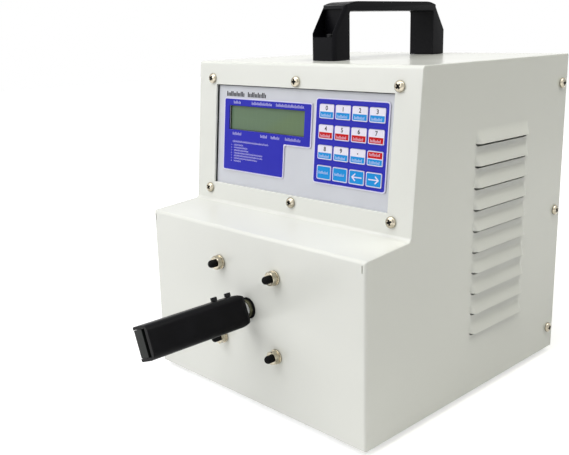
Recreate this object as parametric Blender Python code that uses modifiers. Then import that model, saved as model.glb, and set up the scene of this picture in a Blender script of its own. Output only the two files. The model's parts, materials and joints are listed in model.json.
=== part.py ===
"""Wire twisting machine, in metres, +Z up, standing on its rubber feet with its front towards -Y.

The machine frame has its origin at the bottom of the front wall: X to the right, Y to the rear.
The control face frame lies in the leaning control face: X to the right, Y up the face, Z out of it.
The head frame turns with the spindle: Y along its axis, and the head reaches out along -Y.
"""

import math

import bmesh
import bpy
from mathutils import Matrix, Vector

MM = 0.001

# Shared clearances and facets
SEAT = 0.3 * MM
OVERRUN = 2.0 * MM
RUNNING_GAP = 0.4 * MM
WELD = 0.001 * MM
FLAT_ANGLE = math.radians(0.5)
FINE_STEPS = 20
PLAIN_STEPS = 16
SCREW_STEPS = 10
HOLE_STEPS = 8
HEX_STEPS = 6

# Casing sheet
SHEET = 1.5 * MM
BEND_RADIUS = 3.0 * MM
BEND_STEPS = 3
CASE_WIDTH = 265.0 * MM
CASE_DEPTH = 291.0 * MM
CASE_HEIGHT = 291.0 * MM
FRONT_HEIGHT = 154.0 * MM
LEDGE_DEPTH = 54.0 * MM
LEDGE_RISE = 4.0 * MM
FACE_LEAN = 12.0 * MM
LIP_WIDTH = 34.0 * MM
FRONT_LIP_WIDTH = 14.0 * MM
SLIT_WIDTH = 1.0 * MM
SLIT_HEIGHT = 6.0 * MM

# Louvres in the sides
LOUVRE_COUNT = 10
LOUVRE_PITCH = 18.5 * MM
LOUVRE_LOWEST = 57.5 * MM
LOUVRE_MIDDLE = 181.0 * MM
LOUVRE_LENGTH = 84.0 * MM
LOUVRE_END = 7.0 * MM
LOUVRE_HEIGHT = 12.5 * MM
LOUVRE_PROUD = 4.5 * MM
LOUVRE_WALL = 1.2 * MM
LOUVRE_STEPS = (12, 5)
LOUVRE_INSIDE_STEPS = (8, 3)

# Base plate and feet
BASE_SHEET = 2.0 * MM
BASE_GAP = 0.5 * MM
BASE_FLANGE = 12.0 * MM
FOOT_HEIGHT = 6.0 * MM
FOOT_RADIUS = 10.0 * MM
FOOT_TOP_RADIUS = 8.5 * MM
FOOT_EDGE = 0.8 * MM
FOOT_INSET = 22.0 * MM
FOOT_STUD_RADIUS = 2.0 * MM
FOOT_NUT_RADIUS = 4.0 * MM
FOOT_NUT_HEIGHT = 3.2 * MM
FOOT_STUD_END = 2.0 * MM

# Rear panel
REAR_FLANGE = 20.0 * MM
REAR_GAP = 0.5 * MM
SIDE_SCREW_REAR = 10.0 * MM
SIDE_SCREW_LOW = 22.5 * MM
SIDE_SCREW_TOP = 26.5 * MM
SIDE_SCREW_ROWS = 3

# Pan-head screws with a cross recess, on the control face and the sides
PAN_HEAD_RADIUS = 4.75 * MM
PAN_HEAD_HEIGHT = 3.0 * MM
PAN_HEAD_CROWN_SHARE = 0.45
PAN_SHAFT_RADIUS = 2.5 * MM
PAN_SHAFT_GAP = 0.4 * MM
PAN_NUT_RADIUS = 4.6 * MM
PAN_NUT_HEIGHT = 4.0 * MM
CROSS_LENGTH = 4.6 * MM
CROSS_WIDTH = 1.1 * MM
CROSS_DEPTH = 1.4 * MM

# Control face: window, plate and printed sheet
WINDOW_SIDE = 25.5 * MM
WINDOW_LOW = 18.8 * MM
WINDOW_TOP_EDGE = 21.4 * MM
WINDOW_DEPTH = 3.0 * MM
PLATE_SIDE_LAP = 14.0 * MM
PLATE_END_LAP = 12.4 * MM
PLATE_SHEET = 2.0 * MM
OVERLAY_SHEET = 0.6 * MM
FACE_SCREW_BESIDE = 5.0 * MM
FACE_SCREW_BELOW = 6.3 * MM
FACE_SCREW_ABOVE = 5.5 * MM

# Display. Places on the panel are left, low, right and top, as shares of the window's
# width and height from its lower left corner.
LCD_SHARES = (0.0813, 0.5582, 0.5463, 0.7992)
FIELD_SHARES = (0.0514, 0.1511, 0.5827, 0.8635)
FIELD_NOTCH_SHARES = (0.4308, 0.4703)
FIELD_SHEET = 0.9 * MM
FIELD_CORNER = 1.5 * MM
LCD_FRAME_WALL = 1.6 * MM
LCD_GLASS_SHEET = 2.4 * MM
LCD_GLASS_DROP = 0.5 * MM

# Keypad
KEYPAD_SHARES = (0.6098, 0.1661, 0.9734, 0.9192)
KEYS_SHARES = (0.629, 0.1971, 0.9593, 0.8742)
KEY_GAP_ACROSS = 1.95 * MM
KEY_GAP_UP = 5.3 * MM
KEY_CORNER = 1.2 * MM
KEY_CORNER_STEPS = 1
KEY_SHEET = 1.1 * MM
KEY_REST = 0.55 * MM
KEYPAD_CORNER = 2.5 * MM
CORNER_STEPS = 2
KEY_NAMES = (
    ("key_0", "key_1", "key_2", "key_3"),
    ("key_4", "key_5", "key_6", "key_7"),
    ("key_8", "key_9", "key_point", "key_enter"),
    ("key_mode", "key_clear", "key_left", "key_right"),
)

# Circuit board behind the control plate
BOARD_SIDE_LAP = 7.0 * MM
BOARD_END_GAP = 0.7 * MM
BOARD_SHEET = 1.6 * MM
STANDOFF_LENGTH = 9.0 * MM
STANDOFF_RADIUS = 3.0 * MM
STANDOFF_INSET = 6.0 * MM
CHIP_SIZE = 22.0 * MM
CHIP_HEIGHT = 3.5 * MM
TERMINAL_WIDTH = 60.0 * MM
TERMINAL_DEPTH = 10.0 * MM
TERMINAL_HEIGHT = 12.0 * MM

# Carry handle
HANDLE_FROM_FOLD = 32.0 * MM
HANDLE_FROM_REAR = 27.5 * MM
HANDLE_WIDTH = 26.6 * MM
HANDLE_HEIGHT = 50.4 * MM
LEG_THICKNESS = 20.3 * MM
LEG_STRAIGHT = 24.0 * MM
LEG_SLOPE_IN = 15.0 * MM
CROWN_RISE = 3.5 * MM
CROWN_RUN = 17.0 * MM
CROWN_STEPS = 4
BAR_THICKNESS = 8.3 * MM
HANDLE_EDGE = 4.0 * MM
HANDLE_EDGE_STEPS = 3
GRIP_CORNER = 2.5 * MM
POCKET_FLOOR = 20.0 * MM
POCKET_ROOF = 2.7 * MM
POCKET_CHEEK = 3.0 * MM
POCKET_WALL = 3.5 * MM
HANDLE_SCREW_RADIUS = 2.5 * MM
HANDLE_SCREW_HEAD = 4.25 * MM
HANDLE_SCREW_HEAD_HEIGHT = 5.0 * MM
HANDLE_SCREW_SOCKET = 2.0 * MM
HANDLE_SCREW_FROM_WALL = 5.5 * MM
HANDLE_NUT_HEIGHT = 4.5 * MM

# Motor
SPINDLE_DROP = 67.2 * MM
MOTOR_SIZE = 86.0 * MM
MOTOR_BOLT_SQUARE = 69.6 * MM
MOTOR_LENGTH = 80.0 * MM
MOTOR_FLANGE = 10.0 * MM
MOTOR_END_BELL = 16.0 * MM
MOTOR_CORNER = 24.0 * MM
MOTOR_EDGE = 3.0 * MM
MOTOR_GROOVE = 1.5 * MM
PILOT_RADIUS = 36.5 * MM
PILOT_HEIGHT = 2.0 * MM
SPINDLE_RADIUS = 7.0 * MM
SPINDLE_IN_MOTOR = 34.0 * MM
BEARING_RADIUS = 15.0 * MM
BEARING_WIDTH = 9.0 * MM

# Studs that hold the motor, and their caps
STUD_RADIUS = 2.9 * MM
STUD_GAP = 0.4 * MM
STUD_HEAD_RADIUS = 5.2 * MM
STUD_HEAD_HEIGHT = 4.0 * MM
WASHER_RADIUS = 6.0 * MM
WASHER_SHEET = 1.0 * MM
NUT_RADIUS = 5.7 * MM
NUT_HEIGHT = 4.4 * MM
STUD_END = 4.3 * MM
CAP_RADIUS = 3.6 * MM
CAP_END = 1.3 * MM
CAP_END_ROUND = 2.0 * MM
CAP_END_STEPS = 3

# Seal and collar on the spindle
SEAL_RADIUS = 10.0 * MM
SEAL_BORE = 8.9 * MM
SEAL_PROUD = 1.2 * MM
COLLAR_RADIUS = 8.4 * MM
COLLAR_EDGE = 0.6 * MM

# Clamp head
HEAD_TURN = math.radians(21.2)
HEAD_BASE = 6.6 * MM
HEAD_TIP = 107.6 * MM
HEAD_WIDTH = 20.0 * MM
HEAD_HEIGHT = 28.4 * MM
HEAD_CORNER = 6.0 * MM
HEAD_JAW_CORNER = 1.4 * MM
HEAD_CORNER_STEPS = 4
HEAD_BASE_ROUND = 7.0 * MM
HEAD_BORE_DEPTH = 32.0 * MM
HEAD_WALL = 1.7 * MM
GRIP_WALL = 3.8 * MM
CAVITY_START = 44.0 * MM
HEAD_SCREW_PLACES = (17.6 * MM, 32.4 * MM)
HEAD_SCREW_RADIUS = 2.8 * MM
HEAD_SCREW_PROUD = 3.2 * MM
HEAD_SCREW_SHAFT = 2.0 * MM
HEAD_SCREW_SOCKET = 1.3 * MM

# Clamp jaw, its pin and its spring
WIRE_SLOT = 3.7 * MM
JAW_SIDE_GAP = 0.9 * MM
JAW_REAR = 46.5 * MM
JAW_EDGE = 0.8 * MM
PIN_OUT = 62.0 * MM
PIN_SIDE = -3.0 * MM
PIN_RADIUS = 1.5 * MM
PIN_GAP = 0.3 * MM
TOOTH_COUNT = 14
TOOTH_PITCH = 2.2 * MM
TOOTH_DEPTH = 0.6 * MM
TOOTH_FROM_TIP = 3.0 * MM
THUMB_DISH_DEPTH = 0.8 * MM
SPRING_WIRE = 0.45 * MM
SPRING_TURNS = 3
SPRING_TURN_POINTS = 10
SPRING_RADIUS = 2.4 * MM
SPRING_PITCH = 1.8 * MM
SPRING_LEG = 5.0 * MM
SPRING_POCKET_HEIGHT = 7.6 * MM
SPRING_POCKET_RADIUS = 3.6 * MM
SPRING_SLOT_HALF = 1.4 * MM
GAP_STEPS = 4

# Power supply and motor driver on the base
SUPPLY_WIDTH = 199.0 * MM
SUPPLY_HEIGHT = 42.0 * MM
SUPPLY_BEHIND_MOTOR = 28.0 * MM
SUPPLY_TO_DRIVER = 12.0 * MM
SUPPLY_STEP = 20.0 * MM
SUPPLY_STEP_DROP = 18.0 * MM
DRIVER_WIDTH = 118.0 * MM
DRIVER_DEPTH = 34.0 * MM
DRIVER_HEIGHT = 76.0 * MM
DRIVER_FROM_REAR = 33.5 * MM
DRIVER_SIDE = -40.0 * MM
FIN_COUNT = 9
FIN_DEPTH = 9.0 * MM
FIN_SHARE = 0.45

# Mains inlet
INLET_SIDE = 70.0 * MM
INLET_RISE = 62.0 * MM
INLET_WIDTH = 48.0 * MM
INLET_HEIGHT = 27.0 * MM
INLET_FLANGE = 3.0 * MM
INLET_BODY_WIDTH = 28.0 * MM
INLET_BODY_HEIGHT = 21.0 * MM
INLET_BODY_DEPTH = 18.0 * MM
INLET_MOUTH_WIDTH = 24.4 * MM
INLET_MOUTH_HEIGHT = 16.6 * MM
INLET_MOUTH_DEPTH = 15.0 * MM
INLET_MOUTH_CORNER = 4.5 * MM
INLET_PIN_WIDTH = 2.0 * MM
INLET_PIN_HEIGHT = 4.0 * MM
INLET_PIN_LENGTH = 10.0 * MM
INLET_PIN_STEP = 7.0 * MM
INLET_PIN_DROP = 2.0 * MM
INLET_SCREW_STEP = 40.0 * MM
INLET_SCREW_RADIUS = 3.0 * MM
INLET_SCREW_PROUD = 1.2 * MM

# Power switch
SWITCH_SIDE = 70.0 * MM
SWITCH_RISE = 108.0 * MM
SWITCH_WIDTH = 21.0 * MM
SWITCH_HEIGHT = 31.0 * MM
SWITCH_FLANGE = 2.0 * MM
SWITCH_BODY_WIDTH = 18.6 * MM
SWITCH_BODY_HEIGHT = 27.0 * MM
SWITCH_BODY_DEPTH = 20.0 * MM
SWITCH_RIM = 2.4 * MM
SWITCH_WELL = 12.0 * MM
ROCKER_GAP = 0.4 * MM
ROCKER_TILT = math.radians(8.0)
ROCKER_PROUD = 4.5 * MM
ROCKER_DEPTH = 3.0 * MM
ROCKER_PIVOT_DEPTH = 3.5 * MM
ROCKER_PIVOT_RADIUS = 1.6 * MM

# Fuse holder and foot pedal socket
FUSE_SIDE = 20.0 * MM
FUSE_RISE = 62.0 * MM
FUSE_NUT_RADIUS = 8.5 * MM
FUSE_NUT_HEIGHT = 3.0 * MM
FUSE_BODY_RADIUS = 6.0 * MM
FUSE_BODY_DEPTH = 26.0 * MM
FUSE_CAP_RADIUS = 6.6 * MM
FUSE_CAP_PROUD = 10.0 * MM
FUSE_CAP_EDGE = 0.8 * MM
SOCKET_SIDE = -30.0 * MM
SOCKET_RISE = 62.0 * MM
SOCKET_FLANGE_RADIUS = 9.5 * MM
SOCKET_FLANGE = 3.0 * MM
SOCKET_BARREL_RADIUS = 7.5 * MM
SOCKET_BARREL_PROUD = 8.0 * MM
SOCKET_BORE = 5.8 * MM
SOCKET_BORE_DEPTH = 9.0 * MM
SOCKET_BODY_DEPTH = 14.0 * MM
SOCKET_PIN_COUNT = 2
SOCKET_PIN_RADIUS = 0.8 * MM
SOCKET_PIN_CIRCLE = 3.2 * MM
SOCKET_PIN_LENGTH = 6.0 * MM

# Worked out from the sizes above
FOOT_STAND = FOOT_HEIGHT + SEAT
REAR_REACH = FUSE_CAP_PROUD
FRONT_PLACE = (HEAD_TIP - CASE_DEPTH - REAR_REACH) / 2
FACE_RISE = CASE_HEIGHT - FRONT_HEIGHT - LEDGE_RISE
FACE_TILT = math.atan2(FACE_RISE, FACE_LEAN)
FACE_LENGTH = math.hypot(FACE_RISE, FACE_LEAN)
WINDOW_WIDTH = CASE_WIDTH - 2 * WINDOW_SIDE
WINDOW_HEIGHT = FACE_LENGTH - WINDOW_LOW - WINDOW_TOP_EDGE
PLATE_WIDTH = WINDOW_WIDTH + 2 * PLATE_SIDE_LAP
PLATE_LOW = WINDOW_LOW - PLATE_END_LAP
PLATE_HEIGHT = WINDOW_HEIGHT + 2 * PLATE_END_LAP
OVERLAY_TOP = -WINDOW_DEPTH - SEAT
PLATE_TOP = OVERLAY_TOP - OVERLAY_SHEET - SEAT
PLATE_BACK = PLATE_TOP - PLATE_SHEET
BOARD_TOP = PLATE_BACK - SEAT - STANDOFF_LENGTH
FIELD_BACK = OVERLAY_TOP + SEAT
PAN_HOLE = PAN_SHAFT_RADIUS + PAN_SHAFT_GAP
INNER_WIDTH = CASE_WIDTH - 2 * SHEET
BASE_LOW = SHEET + SEAT
BASE_TOP = BASE_LOW + BASE_SHEET
REAR_OUTER = CASE_DEPTH
REAR_INNER = REAR_OUTER - SHEET
REAR_WIDTH = INNER_WIDTH - 2 * SEAT
SPINDLE_RISE = FRONT_HEIGHT - SPINDLE_DROP
MOTOR_FACE = SHEET + SEAT + PILOT_HEIGHT
MOTOR_REAR = MOTOR_FACE + MOTOR_LENGTH
DRIVER_FRONT = REAR_INNER - DRIVER_FROM_REAR - DRIVER_DEPTH
SUPPLY_FRONT = MOTOR_REAR + SUPPLY_BEHIND_MOTOR
SUPPLY_REAR = DRIVER_FRONT - SUPPLY_TO_DRIVER
HANDLE_FRONT = LEDGE_DEPTH + FACE_LEAN + HANDLE_FROM_FOLD
HANDLE_REAR = CASE_DEPTH - HANDLE_FROM_REAR
HANDLE_LENGTH = HANDLE_REAR - HANDLE_FRONT
HANDLE_MIDDLE = (HANDLE_FRONT + HANDLE_REAR) / 2
LEG_SLOPE_TOP = HANDLE_HEIGHT - CROWN_RISE
POCKET_TOP = LEG_SLOPE_TOP - POCKET_ROOF
STUD_HOLE = STUD_RADIUS + STUD_GAP
JAW_OUTER = -HEAD_WIDTH / 2
JAW_INNER = HEAD_WIDTH / 2 - GRIP_WALL - WIRE_SLOT
JAW_HALF = HEAD_HEIGHT / 2 - HEAD_WALL - JAW_SIDE_GAP


def clear_scene():
    """Removes what the open scene holds, so that the script can be run again."""
    for thing in list(bpy.data.objects):
        bpy.data.objects.remove(thing, do_unlink=True)
    for group in list(bpy.data.collections):
        bpy.data.collections.remove(group)


def new_collection(name):
    """A collection of this name in the scene."""
    group = bpy.data.collections.new(name)
    bpy.context.scene.collection.children.link(group)
    return group


def finish(name, colour, roughness, metallic=0.0):
    """A Principled material of one colour, roughness and metallic value."""
    made = bpy.data.materials.new(name)
    made.use_nodes = True
    shader = made.node_tree.nodes["Principled BSDF"]
    shader.inputs["Base Color"].default_value = (*colour, 1.0)
    shader.inputs["Roughness"].default_value = roughness
    shader.inputs["Metallic"].default_value = metallic
    made.diffuse_color = (*colour, 1.0)
    return made


def frame(name, parent, matrix):
    """An empty that carries the pieces placed in its frame."""
    empty = bpy.data.objects.new(name, None)
    PARTS.objects.link(empty)
    empty.parent = parent
    empty.matrix_basis = matrix
    return empty


def link(shape, name, carrier, matrix, surface):
    """An object for this mesh, in its carrier's frame, shaded smooth except at its edges."""
    for face in shape.polygons:
        face.use_smooth = True
    shape.set_sharp_from_angle(angle=math.radians(35.0))
    piece = bpy.data.objects.new(name, shape)
    PARTS.objects.link(piece)
    piece.parent = carrier
    piece.matrix_basis = matrix
    if surface and not shape.materials:
        shape.materials.append(surface)
    return piece


def piece_from(bm, name, carrier, surface, matrix=Matrix()):
    """A named piece from a finished set of bodies."""
    bmesh.ops.recalc_face_normals(bm, faces=bm.faces)
    shape = bpy.data.meshes.new(name)
    bm.to_mesh(shape)
    bm.free()
    return link(shape, name, carrier, matrix, surface)


def boolean(piece, bm, kind):
    """Cuts the bodies out of the piece, joins them to it or keeps what both fill, in the
    piece's own frame."""
    bmesh.ops.recalc_face_normals(bm, faces=bm.faces)
    count = len(piece.modifiers)
    name = f"{piece.name}_{kind.lower()}_{count}"
    shape = bpy.data.meshes.new(name)
    bm.to_mesh(shape)
    bm.free()
    helper = bpy.data.objects.new(name, shape)
    CUTTERS.objects.link(helper)
    helper.parent = piece.parent
    helper.matrix_basis = piece.matrix_basis
    helper.hide_render = True
    helper.display_type = "WIRE"
    step = piece.modifiers.new(name, "BOOLEAN")
    step.operation = kind
    step.solver = "EXACT"
    step.use_self = True
    step.object = helper


def cut(piece, bm):
    """Cuts the bodies out of the piece."""
    boolean(piece, bm, "DIFFERENCE")


def join(piece, bm):
    """Joins the bodies to the piece as one solid."""
    boolean(piece, bm, "UNION")


def box(bm, low, high, matrix=Matrix()):
    """Adds a box between two corners, and returns its vertices."""
    low, high = Vector(low), Vector(high)
    place = Matrix.Translation((low + high) / 2) @ Matrix.Diagonal((*(high - low), 1.0))
    return bmesh.ops.create_cube(bm, size=1.0, matrix=matrix @ place)["verts"]


def rod(bm, radius, start, end, steps=PLAIN_STEPS, end_radius=None):
    """Adds a cylinder, or a cone, from one point to another."""
    start, end = Vector(start), Vector(end)
    along = end - start
    turn = along.to_track_quat("Z", "Y").to_matrix().to_4x4()
    bmesh.ops.create_cone(
        bm,
        cap_ends=True,
        segments=steps,
        radius1=radius,
        radius2=radius if end_radius is None else end_radius,
        depth=along.length,
        matrix=Matrix.Translation((start + end) / 2) @ turn,
    )


def add_evaluated(bm, data, matrix, make_modifier=None):
    """Adds the mesh that Blender makes of a curve or a modifier's profile, with its seams
    welded, and removes the data."""
    holder = bpy.data.objects.new("holder", data)
    bpy.context.scene.collection.objects.link(holder)
    if make_modifier:
        make_modifier(holder)
    bpy.context.view_layer.update()
    ready = holder.evaluated_get(bpy.context.evaluated_depsgraph_get())
    shape = bpy.data.meshes.new_from_object(ready)
    made = bmesh.new()
    made.from_mesh(shape)
    bmesh.ops.remove_doubles(made, verts=made.verts, dist=WELD)
    bmesh.ops.dissolve_limit(
        made, angle_limit=FLAT_ANGLE, verts=made.verts, edges=made.edges
    )
    bmesh.ops.transform(made, matrix=matrix, verts=made.verts)
    made.to_mesh(shape)
    made.free()
    bm.from_mesh(shape)
    bpy.data.meshes.remove(shape)
    bpy.data.objects.remove(holder)
    bpy.data.batch_remove([data])


def prism(bm, outline, low, high, axes="XYZ"):
    """Adds a flat outline extruded from low to high. axes names what the outline's two
    directions and the extrusion follow."""
    flat = bpy.data.curves.new("outline", "CURVE")
    flat.dimensions = "2D"
    flat.fill_mode = "BOTH"
    flat.extrude = (high - low) / 2
    line = flat.splines.new("POLY")
    line.points.add(len(outline) - 1)
    line.use_cyclic_u = True
    for point, place in zip(line.points, outline):
        point.co = (*place, 0.0, 1.0)
    turn = Matrix([[float(letter == "XYZ"[row]) for letter in axes] for row in range(3)])
    lift = Matrix.Translation((0.0, 0.0, (low + high) / 2))
    add_evaluated(bm, flat, turn.to_4x4() @ lift)


def rounded_outline(outline, radii, steps):
    """The outline with an arc of the given radius at each corner, and 0 for a sharp one."""
    points = []
    count = len(outline)
    for index, radius in enumerate(radii):
        corner = Vector(outline[index])
        before = (Vector(outline[index - 1]) - corner).normalized()
        after = (Vector(outline[(index + 1) % count]) - corner).normalized()
        if not radius:
            points.append(tuple(corner))
            continue
        half = before.angle(after) / 2
        centre = corner + (before + after).normalized() * radius / math.sin(half)
        first = corner + before * radius / math.tan(half) - centre
        last = corner + after * radius / math.tan(half) - centre
        for step in range(steps + 1):
            spoke = first.normalized().slerp(last.normalized(), step / steps)
            points.append(tuple(centre + spoke * radius))
    return points


def rounded_box(bm, low, high, radius, steps, axes="XYZ"):
    """Adds a box whose four edges along the third axis are rounded. Its corners are given
    along the three axes in the order that axes names."""
    (a0, b0, c0), (a1, b1, c1) = low, high
    outline = ((a0, b0), (a1, b0), (a1, b1), (a0, b1))
    prism(bm, rounded_outline(outline, (radius,) * 4, steps), c0, c1, axes)


def turned(bm, profile, matrix=Matrix(), steps=PLAIN_STEPS):
    """Adds a turned solid about Z. The profile's (radius, height) points run from bottom to
    top on its outer side."""
    guide = bpy.data.meshes.new("profile")
    points = [(radius, 0.0, height) for radius, height in reversed(profile)]
    guide.from_pydata(points, [(i, i + 1) for i in range(len(points) - 1)], [])

    def turn(holder):
        screw = holder.modifiers.new("turn", "SCREW")
        screw.steps = screw.render_steps = steps
        screw.use_merge_vertices = True
        screw.merge_threshold = WELD

    add_evaluated(bm, guide, matrix, turn)


def bevel_edges(bm, radius, steps, wanted):
    """Rounds the edges for which wanted is true of the two ends."""
    edges = [edge for edge in bm.edges if wanted(*(vert.co for vert in edge.verts))]
    bmesh.ops.bevel(
        bm, geom=edges, offset=radius, segments=steps, profile=0.5, affect="EDGES"
    )


def near(first, second):
    """True where two lengths are the same."""
    return abs(first - second) < SEAT / 10


def towards(direction):
    """A matrix that turns Z to this direction."""
    return Vector(direction).to_track_quat("Z", "Y").to_matrix().to_4x4()


def at(*place):
    """A matrix that moves to this place."""
    return Matrix.Translation(place)


def offset_outline(outline, insets):
    """The outline with each edge moved inwards by its own inset. Edge i runs from point i to
    the next one, and the outline runs clockwise."""
    lines = []
    for index, inset in enumerate(insets):
        start = Vector(outline[index])
        along = (Vector(outline[(index + 1) % len(outline)]) - start).normalized()
        lines.append((start + Vector((along.y, -along.x)) * inset, along))
    corners = []
    for index, (start, along) in enumerate(lines):
        other, direction = lines[index - 1]
        gap = start - other
        cross = direction.x * along.y - direction.y * along.x
        reach = (gap.x * along.y - gap.y * along.x) / cross
        corners.append(tuple(other + direction * reach))
    return corners


def casing_block(half_width, insets, outer_bend, inner_bend):
    """The casing's side outline, moved in by the insets, extruded across the machine with
    its bends rounded. The ledge's rear bend is the hollow one."""
    outline = (
        (0.0, 0.0),
        (0.0, FRONT_HEIGHT),
        (LEDGE_DEPTH, FRONT_HEIGHT + LEDGE_RISE),
        (LEDGE_DEPTH + FACE_LEAN, CASE_HEIGHT),
        (CASE_DEPTH, CASE_HEIGHT),
        (CASE_DEPTH, 0.0),
    )
    corners = offset_outline(outline, insets)
    bm = bmesh.new()
    prism(bm, corners, -half_width, half_width, "YZX")
    front_bottom, front_top, ledge_rear, face_top = corners[:4]

    def is_bend(first, second):
        across = near(first.y, second.y) and near(first.z, second.z)
        if across:
            ends = (front_top, face_top)
            return any(near(first.y, y) and near(first.z, z) for y, z in ends)
        return near(first.y, front_bottom[0]) and near(second.y, front_bottom[0])

    def is_hollow_bend(first, second):
        across = near(first.y, second.y) and near(first.z, second.z)
        return across and near(first.y, ledge_rear[0]) and near(first.z, ledge_rear[1])

    bevel_edges(bm, inner_bend, BEND_STEPS, is_hollow_bend)
    bevel_edges(bm, outer_bend, BEND_STEPS, is_bend)
    return bm


def louvre_capsule(bm, radii, half_length, floor, depth, side, place, steps):
    """Adds one pressed hood: a long capsule cut level at its open lower edge and upright
    behind the sheet. side is 1 on the right of the machine and -1 on the left."""
    hood = bmesh.new()
    bmesh.ops.create_uvsphere(
        hood,
        u_segments=steps[0],
        v_segments=steps[1],
        radius=1.0,
        matrix=Matrix.Rotation(math.radians(90.0), 4, "X"),
    )
    widest = math.cos(math.radians(90.0) / steps[1])
    for vert in hood.verts:
        proud, along, tall = vert.co
        push = math.copysign(half_length - radii[1], along)
        vert.co = (proud * radii[0] / widest, along * radii[1] + push, tall * radii[2] / widest)
    for point, normal in (((0, 0, floor), (0, 0, -1)), ((depth, 0, 0), (-1, 0, 0))):
        geometry = hood.verts[:] + hood.edges[:] + hood.faces[:]
        bmesh.ops.bisect_plane(
            hood, geom=geometry, plane_co=point, plane_no=normal, clear_outer=True
        )
        rim = [edge for edge in hood.edges if edge.is_boundary]
        bmesh.ops.holes_fill(hood, edges=rim)
    bmesh.ops.transform(
        hood, matrix=at(*place) @ Matrix.Diagonal((side, 1.0, 1.0, 1.0)), verts=hood.verts
    )
    shape = bpy.data.meshes.new("hood")
    hood.to_mesh(shape)
    hood.free()
    bm.from_mesh(shape)
    bpy.data.meshes.remove(shape)


def louvres(inset, floor, depth, steps):
    """All the hoods of both sides, each smaller by the inset all round."""
    bm = bmesh.new()
    radii = (LOUVRE_PROUD - inset, LOUVRE_END - inset, LOUVRE_HEIGHT - inset)
    for side in (1.0, -1.0):
        for row in range(LOUVRE_COUNT):
            place = (
                side * CASE_WIDTH / 2,
                LOUVRE_MIDDLE,
                LOUVRE_LOWEST + row * LOUVRE_PITCH,
            )
            half = LOUVRE_LENGTH / 2 - inset
            louvre_capsule(bm, radii, half, floor, depth, side, place, steps)
    return bm


def face_screw_places():
    """Where the six screws of the control face stand, in its frame."""
    low = WINDOW_LOW - FACE_SCREW_BELOW
    top = WINDOW_LOW + WINDOW_HEIGHT + FACE_SCREW_ABOVE
    side = WINDOW_WIDTH / 2 + FACE_SCREW_BESIDE
    return [(x, y) for y in (low, top) for x in (-side, 0.0, side)]


def side_screw_rows():
    """The heights of the screws in each side, in even steps."""
    step = (CASE_HEIGHT - SIDE_SCREW_TOP - SIDE_SCREW_LOW) / (SIDE_SCREW_ROWS - 1)
    return [SIDE_SCREW_LOW + row * step for row in range(SIDE_SCREW_ROWS)]


def on_panel(shares):
    """The corners of a place on the panel, in the control face's frame."""
    left, low, right, top = shares
    across, up = -WINDOW_WIDTH / 2, WINDOW_LOW
    return (
        (across + left * WINDOW_WIDTH, up + low * WINDOW_HEIGHT),
        (across + right * WINDOW_WIDTH, up + top * WINDOW_HEIGHT),
    )


def foot_places():
    """Where the feet stand, with their names."""
    side = CASE_WIDTH / 2 - FOOT_INSET
    rear = CASE_DEPTH - FOOT_INSET
    return {
        "foot_front_left": (-side, FOOT_INSET),
        "foot_front_right": (side, FOOT_INSET),
        "foot_rear_left": (-side, rear),
        "foot_rear_right": (side, rear),
    }


def handle_screw_places():
    """How far back each handle screw stands, with its name."""
    out = HANDLE_LENGTH / 2 - LEG_THICKNESS + POCKET_WALL + HANDLE_SCREW_FROM_WALL
    return {
        "handle_screw_front": HANDLE_MIDDLE - out,
        "handle_screw_rear": HANDLE_MIDDLE + out,
    }


def stud_places():
    """Where the four motor studs cross the front wall, clockwise from the upper left."""
    half = MOTOR_BOLT_SQUARE / 2
    corners = ((-half, half), (half, half), (half, -half), (-half, -half))
    return [(x, SPINDLE_RISE + z) for x, z in corners]


def make_casing():
    """The welded sheet-steel casing, open at the rear and between its lower lips."""
    skin = (0.0,) * 6
    piece = piece_from(
        casing_block(CASE_WIDTH / 2, skin, BEND_RADIUS, BEND_RADIUS - SHEET),
        "casing_shell",
        MACHINE,
        WHITE_PAINT,
    )
    join(piece, louvres(0.0, 0.0, -SHEET / 2, LOUVRE_STEPS))
    inner = (SHEET,) * 4 + (-OVERRUN, SHEET)
    cut(piece, casing_block(INNER_WIDTH / 2, inner, BEND_RADIUS - SHEET, BEND_RADIUS))
    cut(piece, louvres(LOUVRE_WALL, -SEAT, -LOUVRE_PROUD, LOUVRE_INSIDE_STEPS))
    join(piece, window_block(SHEET, -WINDOW_DEPTH, -SHEET / 2))
    cut(piece, casing_holes())
    return piece


def window_block(wall, low, high):
    """A block as wide and tall as the window and a wall all round, between two heights."""
    bm = bmesh.new()
    across, top = WINDOW_WIDTH / 2 + wall, WINDOW_LOW + WINDOW_HEIGHT + wall
    box(bm, (-across, WINDOW_LOW - wall, low), (across, top, high), FACE_MATRIX)
    return bm


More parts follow.
